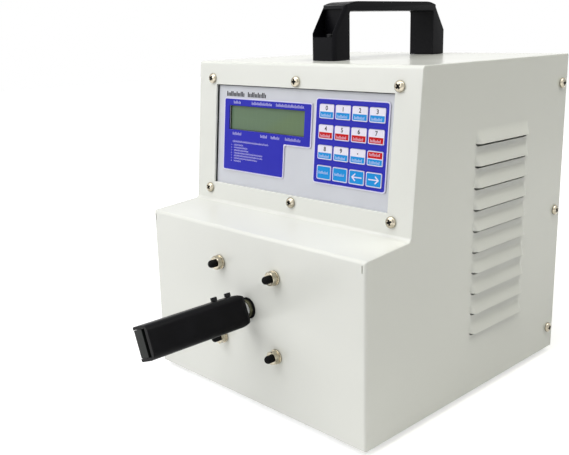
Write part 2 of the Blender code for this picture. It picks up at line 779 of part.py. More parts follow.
def casing_holes():
    """Everything that is punched through the casing sheet."""
    bm = window_block(0.0, -WINDOW_DEPTH - OVERRUN, OVERRUN)
    inside = CASE_WIDTH / 2 - LIP_WIDTH
    rear = CASE_DEPTH + OVERRUN
    box(bm, (-inside, FRONT_LIP_WIDTH, -OVERRUN), (inside, rear, SHEET + OVERRUN))
    through = (-SHEET - OVERRUN, OVERRUN)
    for x, y in face_screw_places():
        ends = [FACE_MATRIX @ Vector((x, y, z)) for z in through]
        rod(bm, PAN_HOLE, *ends, HOLE_STEPS)
    for x, z in stud_places():
        rod(bm, STUD_HOLE, (x, -OVERRUN, z), (x, SHEET + OVERRUN, z), HOLE_STEPS)
    spindle_hole = SEAL_RADIUS + SEAT
    ends = ((0.0, y, SPINDLE_RISE) for y in (-OVERRUN, SHEET + OVERRUN))
    rod(bm, spindle_hole, *ends, FINE_STEPS)
    for side in (-1.0, 1.0):
        outside = side * (CASE_WIDTH / 2 + OVERRUN)
        within = side * (INNER_WIDTH / 2 - OVERRUN)
        for z in side_screw_rows():
            y = CASE_DEPTH - SIDE_SCREW_REAR
            rod(bm, PAN_HOLE, (within, y, z), (outside, y, z), HOLE_STEPS)
        slit = side * (CASE_WIDTH / 2 - BEND_RADIUS - SEAT)
        top = FRONT_HEIGHT - BEND_RADIUS - SEAT
        ends = sorted((slit, slit - side * SLIT_WIDTH))
        box(bm, (ends[0], -OVERRUN, top - SLIT_HEIGHT), (ends[1], SHEET + OVERRUN, top))
    for x, y in foot_places().values():
        rod(bm, FOOT_STUD_RADIUS + SEAT, (x, y, -OVERRUN), (x, y, SHEET + OVERRUN), HOLE_STEPS)
    for y in handle_screw_places().values():
        ends = ((0.0, y, CASE_HEIGHT - SHEET - OVERRUN), (0.0, y, CASE_HEIGHT + OVERRUN))
        rod(bm, HANDLE_SCREW_RADIUS + SEAT, *ends, HOLE_STEPS)
    return bm


def make_base():
    """The base plate, which lies on the casing's lips, with a flange turned up at each side."""
    half = INNER_WIDTH / 2 - BASE_GAP
    front, rear = SHEET + BASE_GAP, REAR_INNER - REAR_GAP
    bm = bmesh.new()
    outline = (
        (-half, BASE_LOW),
        (half, BASE_LOW),
        (half, BASE_LOW + BASE_FLANGE),
        (half - BASE_SHEET, BASE_LOW + BASE_FLANGE),
        (half - BASE_SHEET, BASE_TOP),
        (-half + BASE_SHEET, BASE_TOP),
        (-half + BASE_SHEET, BASE_LOW + BASE_FLANGE),
        (-half, BASE_LOW + BASE_FLANGE),
    )
    outer, inner = BEND_RADIUS, BEND_RADIUS - BASE_SHEET / 2
    radii = (outer, outer, 0, 0, inner, inner, 0, 0)
    prism(bm, rounded_outline(outline, radii, BEND_STEPS), front, rear, "XZY")
    piece = piece_from(bm, "base_plate", MACHINE, ZINC_STEEL)
    holes = bmesh.new()
    for x, y in foot_places().values():
        ends = ((x, y, BASE_LOW - OVERRUN), (x, y, BASE_TOP + OVERRUN))
        rod(holes, FOOT_STUD_RADIUS + SEAT, *ends, HOLE_STEPS)
    flange_end = REAR_OUTER - REAR_FLANGE - REAR_GAP
    for side in (-1.0, 1.0):
        ends = sorted((side * (half + OVERRUN), side * (half - BEND_RADIUS - SHEET)))
        box(
            holes,
            (ends[0], flange_end, BASE_LOW - OVERRUN),
            (ends[1], rear + OVERRUN, BASE_LOW + BASE_FLANGE + OVERRUN),
        )
    cut(piece, holes)


def make_feet():
    """Four rubber feet, each moulded on a stud that clamps the lip and the base plate."""
    nut_low = FOOT_STAND + BASE_TOP + SEAT
    nut_high = nut_low + FOOT_NUT_HEIGHT
    profile = (
        (0.0, 0.0),
        (FOOT_RADIUS - FOOT_EDGE, 0.0),
        (FOOT_RADIUS, FOOT_EDGE),
        (FOOT_TOP_RADIUS, FOOT_HEIGHT),
        (FOOT_STUD_RADIUS, FOOT_HEIGHT),
        (FOOT_STUD_RADIUS, nut_low),
        (FOOT_NUT_RADIUS, nut_low),
        (FOOT_NUT_RADIUS, nut_high),
        (FOOT_STUD_RADIUS, nut_high),
        (FOOT_STUD_RADIUS, nut_high + FOOT_STUD_END),
        (0.0, nut_high + FOOT_STUD_END),
    )
    for name, (x, y) in foot_places().items():
        bm = bmesh.new()
        turned(bm, profile)
        piece_from(bm, name, MACHINE, BLACK_RUBBER, at(x, y, -FOOT_STAND))


def pan_screw(bm, matrix, length):
    """Adds a pan-head screw with its nut at the far end. Z leaves the head, and the head's
    underside lies at 0."""
    crown = PAN_HEAD_RADIUS * PAN_HEAD_CROWN_SHARE
    shoulder = PAN_HEAD_HEIGHT * PAN_HEAD_CROWN_SHARE
    profile = (
        (0.0, -length),
        (PAN_SHAFT_RADIUS, -length),
        (PAN_SHAFT_RADIUS, 0.0),
        (PAN_HEAD_RADIUS, 0.0),
        (PAN_HEAD_RADIUS, shoulder),
        (crown, PAN_HEAD_HEIGHT),
        (0.0, PAN_HEAD_HEIGHT),
    )
    turned(bm, profile, matrix, SCREW_STEPS)


def cross_recess(bm, matrix):
    """Adds the two bars that are cut out of a pan head."""
    top = PAN_HEAD_HEIGHT + OVERRUN
    low = PAN_HEAD_HEIGHT - CROSS_DEPTH
    long, short = CROSS_LENGTH / 2, CROSS_WIDTH / 2
    outline = (
        (-short, -long), (short, -long), (short, -short), (long, -short),
        (long, short), (short, short), (short, long), (-short, long),
        (-short, short), (-long, short), (-long, -short), (-short, -short),
    )
    bar = bmesh.new()
    prism(bar, outline, low, top)
    bmesh.ops.transform(bar, matrix=matrix, verts=bar.verts)
    shape = bpy.data.meshes.new("recess")
    bar.to_mesh(shape)
    bar.free()
    bm.from_mesh(shape)
    bpy.data.meshes.remove(shape)


def make_rear_panel():
    """The rear panel with a flange at each side, and the screws that cross the sides."""
    half = REAR_WIDTH / 2
    low = SHEET + SEAT
    top = CASE_HEIGHT - SHEET - SEAT
    front = REAR_OUTER - REAR_FLANGE
    outline = (
        (-half, REAR_OUTER),
        (-half, front),
        (-half + SHEET, front),
        (-half + SHEET, REAR_INNER),
        (half - SHEET, REAR_INNER),
        (half - SHEET, front),
        (half, front),
        (half, REAR_OUTER),
    )
    radii = (BEND_RADIUS, 0, 0, BEND_RADIUS - SHEET, BEND_RADIUS - SHEET, 0, 0, BEND_RADIUS)
    bm = bmesh.new()
    prism(bm, rounded_outline(outline, radii, BEND_STEPS), low, top)
    piece = piece_from(bm, "rear_panel", MACHINE, WHITE_PAINT)
    screws, recesses = bmesh.new(), bmesh.new()
    length = SHEET + 2 * SEAT + SHEET + PAN_NUT_HEIGHT
    for side in (-1.0, 1.0):
        for z in side_screw_rows():
            y = REAR_OUTER - SIDE_SCREW_REAR
            place = at(side * (CASE_WIDTH / 2 + SEAT), y, z) @ towards((side, 0.0, 0.0))
            pan_screw(screws, place, length)
            cross_recess(recesses, place)
            nut = side * (half - SHEET / 2)
            rod(screws, PAN_NUT_RADIUS, (nut, y, z), (nut - side * PAN_NUT_HEIGHT, y, z), HEX_STEPS)
    join(piece, screws)
    cut(piece, recesses)
    cut(piece, rear_openings())


def rear_openings():
    """The holes of the rear panel that its sockets and switch sit in."""
    bm = bmesh.new()
    low, high = REAR_INNER - OVERRUN, REAR_OUTER + OVERRUN
    seats = (
        (INLET_SIDE, INLET_RISE, INLET_BODY_WIDTH, INLET_BODY_HEIGHT),
        (SWITCH_SIDE, SWITCH_RISE, SWITCH_BODY_WIDTH, SWITCH_BODY_HEIGHT),
    )
    for x, z, width, height in seats:
        across, up = width / 2 + SEAT, height / 2 + SEAT
        box(bm, (x - across, low, z - up), (x + across, high, z + up))
    rounds = (
        (FUSE_SIDE, FUSE_RISE, FUSE_BODY_RADIUS),
        (SOCKET_SIDE, SOCKET_RISE, SOCKET_BARREL_RADIUS),
    )
    for x, z, radius in rounds:
        rod(bm, radius + SEAT, (x, low, z), (x, high, z), FINE_STEPS)
    return bm


def make_handle():
    """The moulded bridge handle with an open pocket in the outer end of each leg."""
    half = HANDLE_LENGTH / 2
    inside = half - LEG_THICKNESS
    under = HANDLE_HEIGHT - BAR_THICKNESS
    crown_start = half - LEG_SLOPE_IN
    rise = HANDLE_HEIGHT - LEG_SLOPE_TOP
    outer = [(half, 0.0), (half, LEG_STRAIGHT)]
    for step in range(CROWN_STEPS + 1):
        share = step / CROWN_STEPS
        lift = math.sin(math.radians(90.0) * share)
        outer.append((crown_start - CROWN_RUN * share, LEG_SLOPE_TOP + rise * lift))
    inner = rounded_outline(
        ((-inside, 0.0), (-inside, under), (inside, under), (inside, 0.0)),
        (0, GRIP_CORNER, GRIP_CORNER, 0),
        CORNER_STEPS,
    )
    mirrored = [(-y, z) for y, z in reversed(outer)]
    outline = outer + mirrored + inner
    bm = bmesh.new()
    wide = HANDLE_WIDTH / 2
    prism(bm, outline, -wide, wide, "YZX")

    def is_outer_edge(first, second):
        if not (near(first.x, second.x) and near(abs(first.x), wide)):
            return False
        middle = (first + second) / 2
        if middle.z <= 0 or near(middle.z, 0.0):
            return False
        out = max(abs(first.y), abs(second.y))
        return out > inside + GRIP_CORNER or middle.z > under + GRIP_CORNER

    bevel_edges(bm, HANDLE_EDGE, HANDLE_EDGE_STEPS, is_outer_edge)
    place = at(0.0, HANDLE_MIDDLE, CASE_HEIGHT + SEAT)
    piece = piece_from(bm, "carry_handle", MACHINE, BLACK_NYLON, place)
    pockets = bmesh.new()
    cheek = wide - POCKET_CHEEK
    for side in (-1.0, 1.0):
        ends = sorted((side * (inside + POCKET_WALL), side * (half + OVERRUN)))
        box(pockets, (-cheek, ends[0], POCKET_FLOOR), (cheek, ends[1], POCKET_TOP))
        y = side * (inside + POCKET_WALL + HANDLE_SCREW_FROM_WALL)
        ends = ((0.0, y, -OVERRUN), (0.0, y, POCKET_FLOOR + OVERRUN))
        rod(pockets, HANDLE_SCREW_RADIUS + SEAT, *ends, HOLE_STEPS)
    cut(piece, pockets)


def make_handle_screws():
    """The socket screws in the handle's pockets, with their nuts under the top."""
    head_low = POCKET_FLOOR + 2 * SEAT
    head_high = head_low + HANDLE_SCREW_HEAD_HEIGHT
    nut_high = -SHEET - SEAT
    nut_low = nut_high - HANDLE_NUT_HEIGHT
    for name, y in handle_screw_places().items():
        bm = bmesh.new()
        rod(bm, HANDLE_SCREW_RADIUS, (0, 0, nut_low - SHEET), (0, 0, head_low + SHEET), HOLE_STEPS)
        piece = piece_from(bm, name, MACHINE, DARK_STEEL, at(0.0, y, CASE_HEIGHT))
        ends = bmesh.new()
        rod(ends, HANDLE_SCREW_HEAD, (0, 0, head_low), (0, 0, head_high), PLAIN_STEPS)
        rod(ends, PAN_NUT_RADIUS, (0, 0, nut_low), (0, 0, nut_high), HEX_STEPS)
        join(piece, ends)
        socket = bmesh.new()
        deep = head_high - HANDLE_SCREW_HEAD_HEIGHT / 2
        rod(socket, HANDLE_SCREW_SOCKET, (0, 0, deep), (0, 0, head_high + OVERRUN), HEX_STEPS)
        cut(piece, socket)


def make_control_plate():
    """The steel plate behind the window, with its six front screws."""
    wide, top = PLATE_WIDTH / 2, PLATE_LOW + PLATE_HEIGHT
    bm = bmesh.new()
    box(bm, (-wide, PLATE_LOW, PLATE_BACK), (wide, top, PLATE_TOP))
    piece = piece_from(bm, "control_plate", FACE, ZINC_STEEL)
    screws, recesses = bmesh.new(), bmesh.new()
    length = SEAT - PLATE_BACK + PAN_NUT_HEIGHT
    for x, y in face_screw_places():
        pan_screw(screws, at(x, y, SEAT), length)
        cross_recess(recesses, at(x, y, SEAT))
        nut = (x, y, PLATE_BACK + PLATE_SHEET / 2)
        rod(screws, PAN_NUT_RADIUS, nut, (x, y, PLATE_BACK - PAN_NUT_HEIGHT), HEX_STEPS)
    join(piece, screws)
    cut(piece, recesses)
    cut(piece, lcd_block(LCD_FRAME_WALL + SEAT, PLATE_BACK - OVERRUN, PLATE_TOP + OVERRUN))


def lcd_block(wall, low, high):
    """A block as wide and tall as the display and a wall all round, between two heights off
    the control face."""
    bm = bmesh.new()
    (left, bottom), (right, top) = on_panel(LCD_SHARES)
    box(bm, (left - wall, bottom - wall, low), (right + wall, top + wall, high))
    return bm


def make_overlay():
    """The printed sheet between the casing and the control plate."""
    wide, top = PLATE_WIDTH / 2, PLATE_LOW + PLATE_HEIGHT
    back = OVERLAY_TOP - OVERLAY_SHEET
    bm = bmesh.new()
    box(bm, (-wide, PLATE_LOW, back), (wide, top, OVERLAY_TOP))
    piece = piece_from(bm, "overlay_sheet", FACE, GREY_FILM)
    holes = lcd_block(0.0, back - OVERRUN, OVERLAY_TOP + OVERRUN)
    for x, y in face_screw_places():
        ends = ((x, y, back - OVERRUN), (x, y, OVERLAY_TOP + OVERRUN))
        rod(holes, PAN_HOLE, *ends, HOLE_STEPS)
    cut(piece, holes)


def make_display():
    """The blue field round the display, and the display's frame and glass."""
    (left, low), (right, top) = on_panel(FIELD_SHARES)
    notch_left, notch_top = on_panel(FIELD_NOTCH_SHARES * 2)[0]
    outline = (
        (left, low),
        (notch_left, low),
        (notch_left, notch_top),
        (right, notch_top),
        (right, top),
        (left, top),
    )
    corner = FIELD_CORNER
    radii = (corner, corner, 0, corner, corner, corner)
    field_top = FIELD_BACK + FIELD_SHEET
    bm = bmesh.new()
    prism(bm, rounded_outline(outline, radii, CORNER_STEPS), FIELD_BACK, field_top)
    piece = piece_from(bm, "display_surround", FACE, BLUE_FILM)
    cut(piece, lcd_block(0.0, FIELD_BACK - OVERRUN, field_top + OVERRUN))
    frame_top = OVERLAY_TOP - OVERLAY_SHEET - SEAT
    frame_low = BOARD_TOP + SEAT
    glass_top = frame_top - LCD_GLASS_DROP
    glass_low = glass_top - LCD_GLASS_SHEET
    frame_block = lcd_block(LCD_FRAME_WALL, frame_low, frame_top)
    bezel = piece_from(frame_block, "lcd_bezel", FACE, DARK_STEEL)
    cut(bezel, lcd_block(0.0, glass_low - SEAT, frame_top + OVERRUN))
    piece_from(lcd_block(-SEAT, glass_low, glass_top), "lcd_glass", FACE, LCD_GREEN)


def key_size():
    """The width and height of a key. The keys and their gaps fill the block of keys."""
    (left, low), (right, top) = on_panel(KEYS_SHARES)
    columns, rows = len(KEY_NAMES[0]), len(KEY_NAMES)
    wide = (right - left + KEY_GAP_ACROSS) / columns - KEY_GAP_ACROSS
    tall = (top - low + KEY_GAP_UP) / rows - KEY_GAP_UP
    return wide, tall


def key_places():
    """The centre of each key in the control face's frame, with its name."""
    wide, tall = key_size()
    (left, _), (_, top) = on_panel(KEYS_SHARES)
    places = {}
    for row, names in enumerate(KEY_NAMES):
        for column, name in enumerate(names):
            x = left + wide / 2 + column * (wide + KEY_GAP_ACROSS)
            y = top - tall / 2 - row * (tall + KEY_GAP_UP)
            places[name] = (x, y)
    return places


def key_surface(name):
    """The key's main colour: red in the second row, white in the first and third."""
    if name in KEY_NAMES[3]:
        return LIGHT_BLUE_FILM
    if name in KEY_NAMES[1] or name == "key_enter":
        return RED_FILM
    return WHITE_FILM


def make_keypad():
    """The blue membrane with a window for each key, and the keys."""
    top = FIELD_BACK + FIELD_SHEET
    bm = bmesh.new()
    low, high = on_panel(KEYPAD_SHARES)
    rounded_box(bm, (*low, FIELD_BACK), (*high, top), KEYPAD_CORNER, CORNER_STEPS)
    membrane = piece_from(bm, "keypad_membrane", FACE, BLUE_FILM)
    windows = bmesh.new()
    across, up = (size / 2 for size in key_size())
    for name, (x, y) in key_places().items():
        gap = SEAT
        rounded_box(
            windows,
            (x - across - gap, y - up - gap, FIELD_BACK - OVERRUN),
            (x + across + gap, y + up + gap, top + OVERRUN),
            KEY_CORNER + gap,
            KEY_CORNER_STEPS,
        )
        bm = bmesh.new()
        corners = (-across, -up, 0.0), (across, up, KEY_SHEET)
        rounded_box(bm, *corners, KEY_CORNER, KEY_CORNER_STEPS)
        piece_from(bm, name, FACE, key_surface(name), at(x, y, OVERLAY_TOP + KEY_REST))
    cut(membrane, windows)


def make_board():
    """The circuit board on its standoffs, with a processor and a row of terminals behind."""
    wide = WINDOW_WIDTH / 2 + BOARD_SIDE_LAP
    low = WINDOW_LOW + BOARD_END_GAP
    high = WINDOW_LOW + WINDOW_HEIGHT - BOARD_END_GAP
    back = BOARD_TOP - BOARD_SHEET
    bm = bmesh.new()
    box(bm, (-wide, low, back), (wide, high, BOARD_TOP))
    piece = piece_from(bm, "control_board", FACE, BOARD_GREEN)
    extras = bmesh.new()
    inset = STANDOFF_INSET
    for x in (-wide + inset, wide - inset):
        for y in (low + inset, high - inset):
            start = (x, y, back + BOARD_SHEET / 2)
            rod(extras, STANDOFF_RADIUS, start, (x, y, PLATE_BACK - SEAT), HEX_STEPS)
    chip = CHIP_SIZE / 2
    middle = (low + high) / 2
    deep = back + BOARD_SHEET / 2
    box(extras, (-chip, middle - chip, back - CHIP_HEIGHT), (chip, middle + chip, deep))
    box(
        extras,
        (-TERMINAL_WIDTH / 2, low + inset, back - TERMINAL_HEIGHT),
        (TERMINAL_WIDTH / 2, low + inset + TERMINAL_DEPTH, deep),
    )
    join(piece, extras)


def make_motor():
    """The square motor: front flange with its pilot, stator with cut corners, rear end bell."""
    half = MOTOR_SIZE / 2
    bell = MOTOR_REAR - MOTOR_END_BELL
    bm = bmesh.new()
    low, high = (-half, -half), (half, half)
    flange = MOTOR_FACE + MOTOR_FLANGE
    rounded_box(bm, (*low, MOTOR_FACE), (*high, flange), MOTOR_EDGE, CORNER_STEPS, "XZY")
    piece = piece_from(bm, "motor_body", SPINDLE_POINT, MOTOR_PAINT)
    body = bmesh.new()
    rod(body, PILOT_RADIUS, (0, SHEET + SEAT, 0), (0, MOTOR_FACE + MOTOR_FLANGE / 2, 0), FINE_STEPS)
    cut_corner = MOTOR_CORNER
    for start, end, inset in (
        (MOTOR_FACE + MOTOR_FLANGE / 2, bell + MOTOR_END_BELL / 2, MOTOR_GROOVE),
        (bell, MOTOR_REAR, 0.0),
    ):
        reach = half - inset
        outline = []
        for x, z in ((1, 1), (-1, 1), (-1, -1), (1, -1)):
            near_x = (x * (reach - cut_corner), z * reach)
            near_z = (x * reach, z * (reach - cut_corner))
            outline += [near_z, near_x] if x * z > 0 else [near_x, near_z]
        prism(body, outline, start, end, "XZY")
    join(piece, body)
    holes = bmesh.new()
    bearing = MOTOR_FACE + BEARING_WIDTH + SEAT
    rod(holes, BEARING_RADIUS + SEAT, (0, -OVERRUN, 0), (0, bearing, 0), FINE_STEPS)
    depth = SPINDLE_IN_MOTOR + RUNNING_GAP
    rod(holes, SPINDLE_RADIUS + RUNNING_GAP, (0, 0, 0), (0, depth, 0), FINE_STEPS)
    for x, z in stud_places():
        z -= SPINDLE_RISE
        ends = ((x, 0.0, z), (x, flange + OVERRUN, z))
        rod(holes, STUD_HOLE, *ends, HOLE_STEPS)
    cut(piece, holes)


def make_spindle():
    """The motor shaft, its front bearing, the seal in the wall and the bright collar."""
    bm = bmesh.new()
    tip = HEAD_BASE + HEAD_BORE_DEPTH - RUNNING_GAP
    rod(bm, SPINDLE_RADIUS, (0, SPINDLE_IN_MOTOR, 0), (0, -tip, 0), FINE_STEPS)
    piece_from(bm, "spindle", HEAD, BRIGHT_STEEL)
    inner = SPINDLE_RADIUS + RUNNING_GAP
    make_ring("motor_bearing", SPINDLE_POINT, BRIGHT_STEEL, inner, BEARING_RADIUS,
              MOTOR_FACE, MOTOR_FACE + BEARING_WIDTH, 0.0)
    make_ring("shaft_seal", SPINDLE_POINT, BLACK_RUBBER, SEAL_BORE, SEAL_RADIUS,
              -SEAL_PROUD, SHEET, COLLAR_EDGE / 2)
    make_ring("spindle_collar", HEAD, NICKEL, SPINDLE_RADIUS + SEAT, COLLAR_RADIUS,
              -HEAD_BASE + SEAT, SHEET, COLLAR_EDGE)


def make_ring(name, carrier, surface, bore, radius, front, rear, edge):
    """A turned ring along Y with a small chamfer round its outer edges."""
    bm = bmesh.new()
    profile = [(bore, front), (radius - edge, front)]
    if edge:
        profile += [(radius, front + edge), (radius, rear - edge)]
    profile += [(radius - edge, rear), (bore, rear), (bore, front)]
    turned(bm, profile, towards((0.0, 1.0, 0.0)), FINE_STEPS)
    piece_from(bm, name, carrier, surface)


def make_studs():
    """The studs that hold the motor, each with washer, nut and rubber cap outside."""
    nut_out = SEAT + WASHER_SHEET + NUT_HEIGHT
    end = nut_out + STUD_END
    head = MOTOR_FACE + MOTOR_FLANGE + SEAT
    for index, (x, z) in enumerate(stud_places(), 1):
        place = at(x, 0.0, z)
        bm = bmesh.new()
        rod(bm, STUD_RADIUS, (0, -end, 0), (0, head + STUD_HEAD_HEIGHT / 2, 0), PLAIN_STEPS)
        stud = piece_from(bm, f"motor_stud_{index}", MACHINE, NICKEL, place)
        ends = bmesh.new()
        rod(ends, STUD_HEAD_RADIUS, (0, head, 0), (0, head + STUD_HEAD_HEIGHT, 0), HEX_STEPS)
        rod(ends, WASHER_RADIUS, (0, -SEAT, 0), (0, -SEAT - WASHER_SHEET, 0), PLAIN_STEPS)
        rod(ends, NUT_RADIUS, (0, -SEAT - WASHER_SHEET / 2, 0), (0, -nut_out, 0), HEX_STEPS)
        join(stud, ends)
        bm = bmesh.new()
        turned(bm, cap_profile(nut_out, end), towards((0.0, 1.0, 0.0)), SCREW_STEPS)
        piece_from(bm, f"stud_cap_{index}", MACHINE, BLACK_RUBBER, place)


def cap_profile(nut_out, end):
    """Half of a domed cap from its closed end to the nut, with the bore for the stud."""
    front = -end - SEAT - CAP_END
    profile = [(0.0, front)]
    for step in range(CAP_END_STEPS + 1):
        turn = math.radians(90.0) * step / CAP_END_STEPS
        out = CAP_RADIUS - CAP_END_ROUND * (1.0 - math.sin(turn))
        profile.append((out, front + CAP_END_ROUND * (1.0 - math.cos(turn))))
    bore = STUD_RADIUS + SEAT
    profile += [(CAP_RADIUS, -nut_out - SEAT), (bore, -nut_out - SEAT)]
    return profile + [(bore, -end - SEAT), (0.0, -end - SEAT)]


def base_rounding(half, across, axes):
    """A bar as wide as the head in one view, with its corners at the base rounded, that
    reaches past the head in the other view and at the tip."""
    tip = -HEAD_TIP - OVERRUN
    outline = ((-half, tip), (half, tip), (half, -HEAD_BASE), (-half, -HEAD_BASE))
    radii = (0, 0, HEAD_BASE_ROUND, HEAD_BASE_ROUND)
    bm = bmesh.new()
    bar = rounded_outline(outline, radii, HEAD_CORNER_STEPS)
    prism(bm, bar, -across - OVERRUN, across + OVERRUN, axes)
    return bm


def make_head():
    """The clamp head: a tube bored for the spindle, open at the jaw's side, rounder at the
    grip's side and at its base."""
    wide, tall = HEAD_WIDTH / 2, HEAD_HEIGHT / 2
    outline = ((-wide, -tall), (wide, -tall), (wide, tall), (-wide, tall))
    radii = (HEAD_JAW_CORNER, HEAD_CORNER, HEAD_CORNER, HEAD_JAW_CORNER)
    bm = bmesh.new()
    end = rounded_outline(outline, radii, HEAD_CORNER_STEPS)
    prism(bm, end, -HEAD_TIP, -HEAD_BASE, "XZY")
    piece = piece_from(bm, "head_body", HEAD, BLACK_ANODISED)
    boolean(piece, base_rounding(wide, tall, "XYZ"), "INTERSECT")
    boolean(piece, base_rounding(tall, wide, "ZYX"), "INTERSECT")
    hollow = bmesh.new()
    inside = tall - HEAD_WALL
    box(
        hollow,
        (-wide - OVERRUN, -HEAD_TIP - OVERRUN, -inside),
        (wide - GRIP_WALL, -CAVITY_START, inside),
    )
    rod(
        hollow,
        SPINDLE_RADIUS + SEAT,
        (0, 0, 0),
        (0, -HEAD_BASE - HEAD_BORE_DEPTH, 0),
        FINE_STEPS,
    )
    ends = ((PIN_SIDE, -PIN_OUT, -tall - OVERRUN), (PIN_SIDE, -PIN_OUT, tall + OVERRUN))
    rod(hollow, PIN_RADIUS + SEAT, *ends, HOLE_STEPS)
    for out in HEAD_SCREW_PLACES:
        ends = ((0, -out, SPINDLE_RADIUS), (0, -out, tall + OVERRUN))
        rod(hollow, HEAD_SCREW_SHAFT + SEAT, *ends, HOLE_STEPS)
    cut(piece, hollow)


def make_head_screws():
    """The two socket screws that grip the spindle."""
    low = SPINDLE_RADIUS + SEAT
    seat = HEAD_HEIGHT / 2 + SEAT
    top = seat + HEAD_SCREW_PROUD
    for index, out in enumerate(HEAD_SCREW_PLACES, 1):
        profile = (
            (0.0, low),
            (HEAD_SCREW_SHAFT, low),
            (HEAD_SCREW_SHAFT, seat),
            (HEAD_SCREW_RADIUS, seat),
            (HEAD_SCREW_RADIUS, top),
            (HEAD_SCREW_SOCKET, top),
            (HEAD_SCREW_SOCKET, top - HEAD_SCREW_PROUD / 2),
            (0.0, top - HEAD_SCREW_PROUD / 2),
        )
        bm = bmesh.new()
        turned(bm, profile)
        piece_from(bm, f"head_screw_{index}", HEAD, DARK_STEEL, at(0.0, -out, 0.0))


def jaw_outline():
    """The jaw seen along its pin, from the pin: teeth along the inner side, a thumb dish
    across the outer side of the tail."""
    tip = -HEAD_TIP + PIN_OUT
    tail = -JAW_REAR + PIN_OUT
    outer, inner = JAW_OUTER - PIN_SIDE, JAW_INNER - PIN_SIDE
    dish_end = tail - JAW_EDGE - PIN_RADIUS
    dish_start = PIN_RADIUS + JAW_EDGE
    outline = [
        (outer, dish_end),
        (outer + THUMB_DISH_DEPTH, (dish_end + dish_start) / 2),
        (outer, dish_start),
        (outer, tip + JAW_EDGE),
        (outer + JAW_EDGE, tip),
        (inner - TOOTH_DEPTH, tip),
    ]
    start = tip + TOOTH_FROM_TIP
    for tooth in range(TOOTH_COUNT):
        place = start + tooth * TOOTH_PITCH
        outline += [(inner, place), (inner - TOOTH_DEPTH, place + TOOTH_PITCH / 2)]
    outline += [
        (inner, start + TOOTH_COUNT * TOOTH_PITCH),
        (inner, tail - JAW_EDGE),
        (inner - JAW_EDGE, tail),
        (outer + JAW_EDGE, tail),
        (outer, tail - JAW_EDGE),
    ]
    return outline


def make_jaw():
    """The sprung jaw, its pin through the head and the spring that closes it."""
    tall = HEAD_HEIGHT / 2
    hinge = at(PIN_SIDE, -PIN_OUT, 0.0)
    bm = bmesh.new()
    prism(bm, jaw_outline(), -JAW_HALF, JAW_HALF)
    jaw = piece_from(bm, "head_jaw", HEAD, JAW_STEEL, hinge)
    holes = bmesh.new()
    ends = ((0, 0, -JAW_HALF - OVERRUN), (0, 0, JAW_HALF + OVERRUN))
    rod(holes, PIN_RADIUS + PIN_GAP, *ends, HOLE_STEPS)
    cut(jaw, holes)
    pocket = bmesh.new()
    half = SPRING_POCKET_HEIGHT / 2
    rod(pocket, SPRING_POCKET_RADIUS, (0, 0, -half), (0, 0, half), PLAIN_STEPS)
    reach = JAW_INNER - PIN_SIDE + OVERRUN
    box(pocket, (0, -SPRING_POCKET_RADIUS, -half), (reach, SPRING_POCKET_RADIUS, half))
    leg = SPRING_RADIUS + SPRING_SLOT_HALF
    box(
        pocket,
        (-leg, 0, -half),
        (-SPRING_RADIUS + SPRING_SLOT_HALF, SPRING_LEG + OVERRUN, half),
    )
    cut(jaw, pocket)
    bm = bmesh.new()
    rod(bm, PIN_RADIUS, (0, 0, -tall), (0, 0, tall), HOLE_STEPS)
    piece_from(bm, "jaw_pin", HEAD, BRIGHT_STEEL, hinge)
    make_spring(hinge)


def make_spring(hinge):
    """The torsion spring round the jaw's pin. One leg lies along the jaw and the other
    reaches for the head's thick wall."""
    points = []
    low = -SPRING_TURNS * SPRING_PITCH / 2
    points.append((-SPRING_RADIUS, SPRING_LEG, low))
    count = SPRING_TURNS * SPRING_TURN_POINTS
    for index in range(count + 1):
        turn = index / SPRING_TURN_POINTS
        angle = math.radians(180.0) + turn * math.tau
        height = low + turn * SPRING_PITCH
        points.append((SPRING_RADIUS * math.cos(angle), SPRING_RADIUS * math.sin(angle), height))
    wall = HEAD_WIDTH / 2 - GRIP_WALL - PIN_SIDE - SPRING_WIRE - SEAT
    points.append((-SPRING_RADIUS + SPRING_PITCH, -SPRING_RADIUS - SPRING_WIRE, -low))
    points.append((wall, -SPRING_RADIUS - SPRING_WIRE, -low))
    gap = least_gap(points, math.pi * SPRING_RADIUS) - 2 * SPRING_WIRE
    print(f"jaw_spring least gap to itself: {gap / MM:.2f} mm")
    wire = bpy.data.curves.new("jaw_spring", "CURVE")
    wire.dimensions = "3D"
    wire.bevel_depth = SPRING_WIRE
    wire.bevel_resolution = 1
    wire.use_fill_caps = True
    line = wire.splines.new("POLY")
    line.points.add(len(points) - 1)
    for point, place in zip(line.points, points):
        point.co = (*place, 1.0)
    piece = bpy.data.objects.new("jaw_spring", wire)
    PARTS.objects.link(piece)
    piece.parent = HEAD
    piece.matrix_basis = hinge
    wire.materials.append(BRIGHT_STEEL)


def least_gap(points, apart):
    """The least distance between places of a route that lie further apart along it than
    this."""
    samples = []
    travel = 0.0
    for start, end in zip(points, points[1:]):
        start, end = Vector(start), Vector(end)
        length = (end - start).length
        for step in range(GAP_STEPS):
            share = step / GAP_STEPS
            samples.append((travel + length * share, start.lerp(end, share)))
        travel += length
    return min(
        (first - second).length
        for place, first in samples
        for other, second in samples
        if other - place > apart
    )


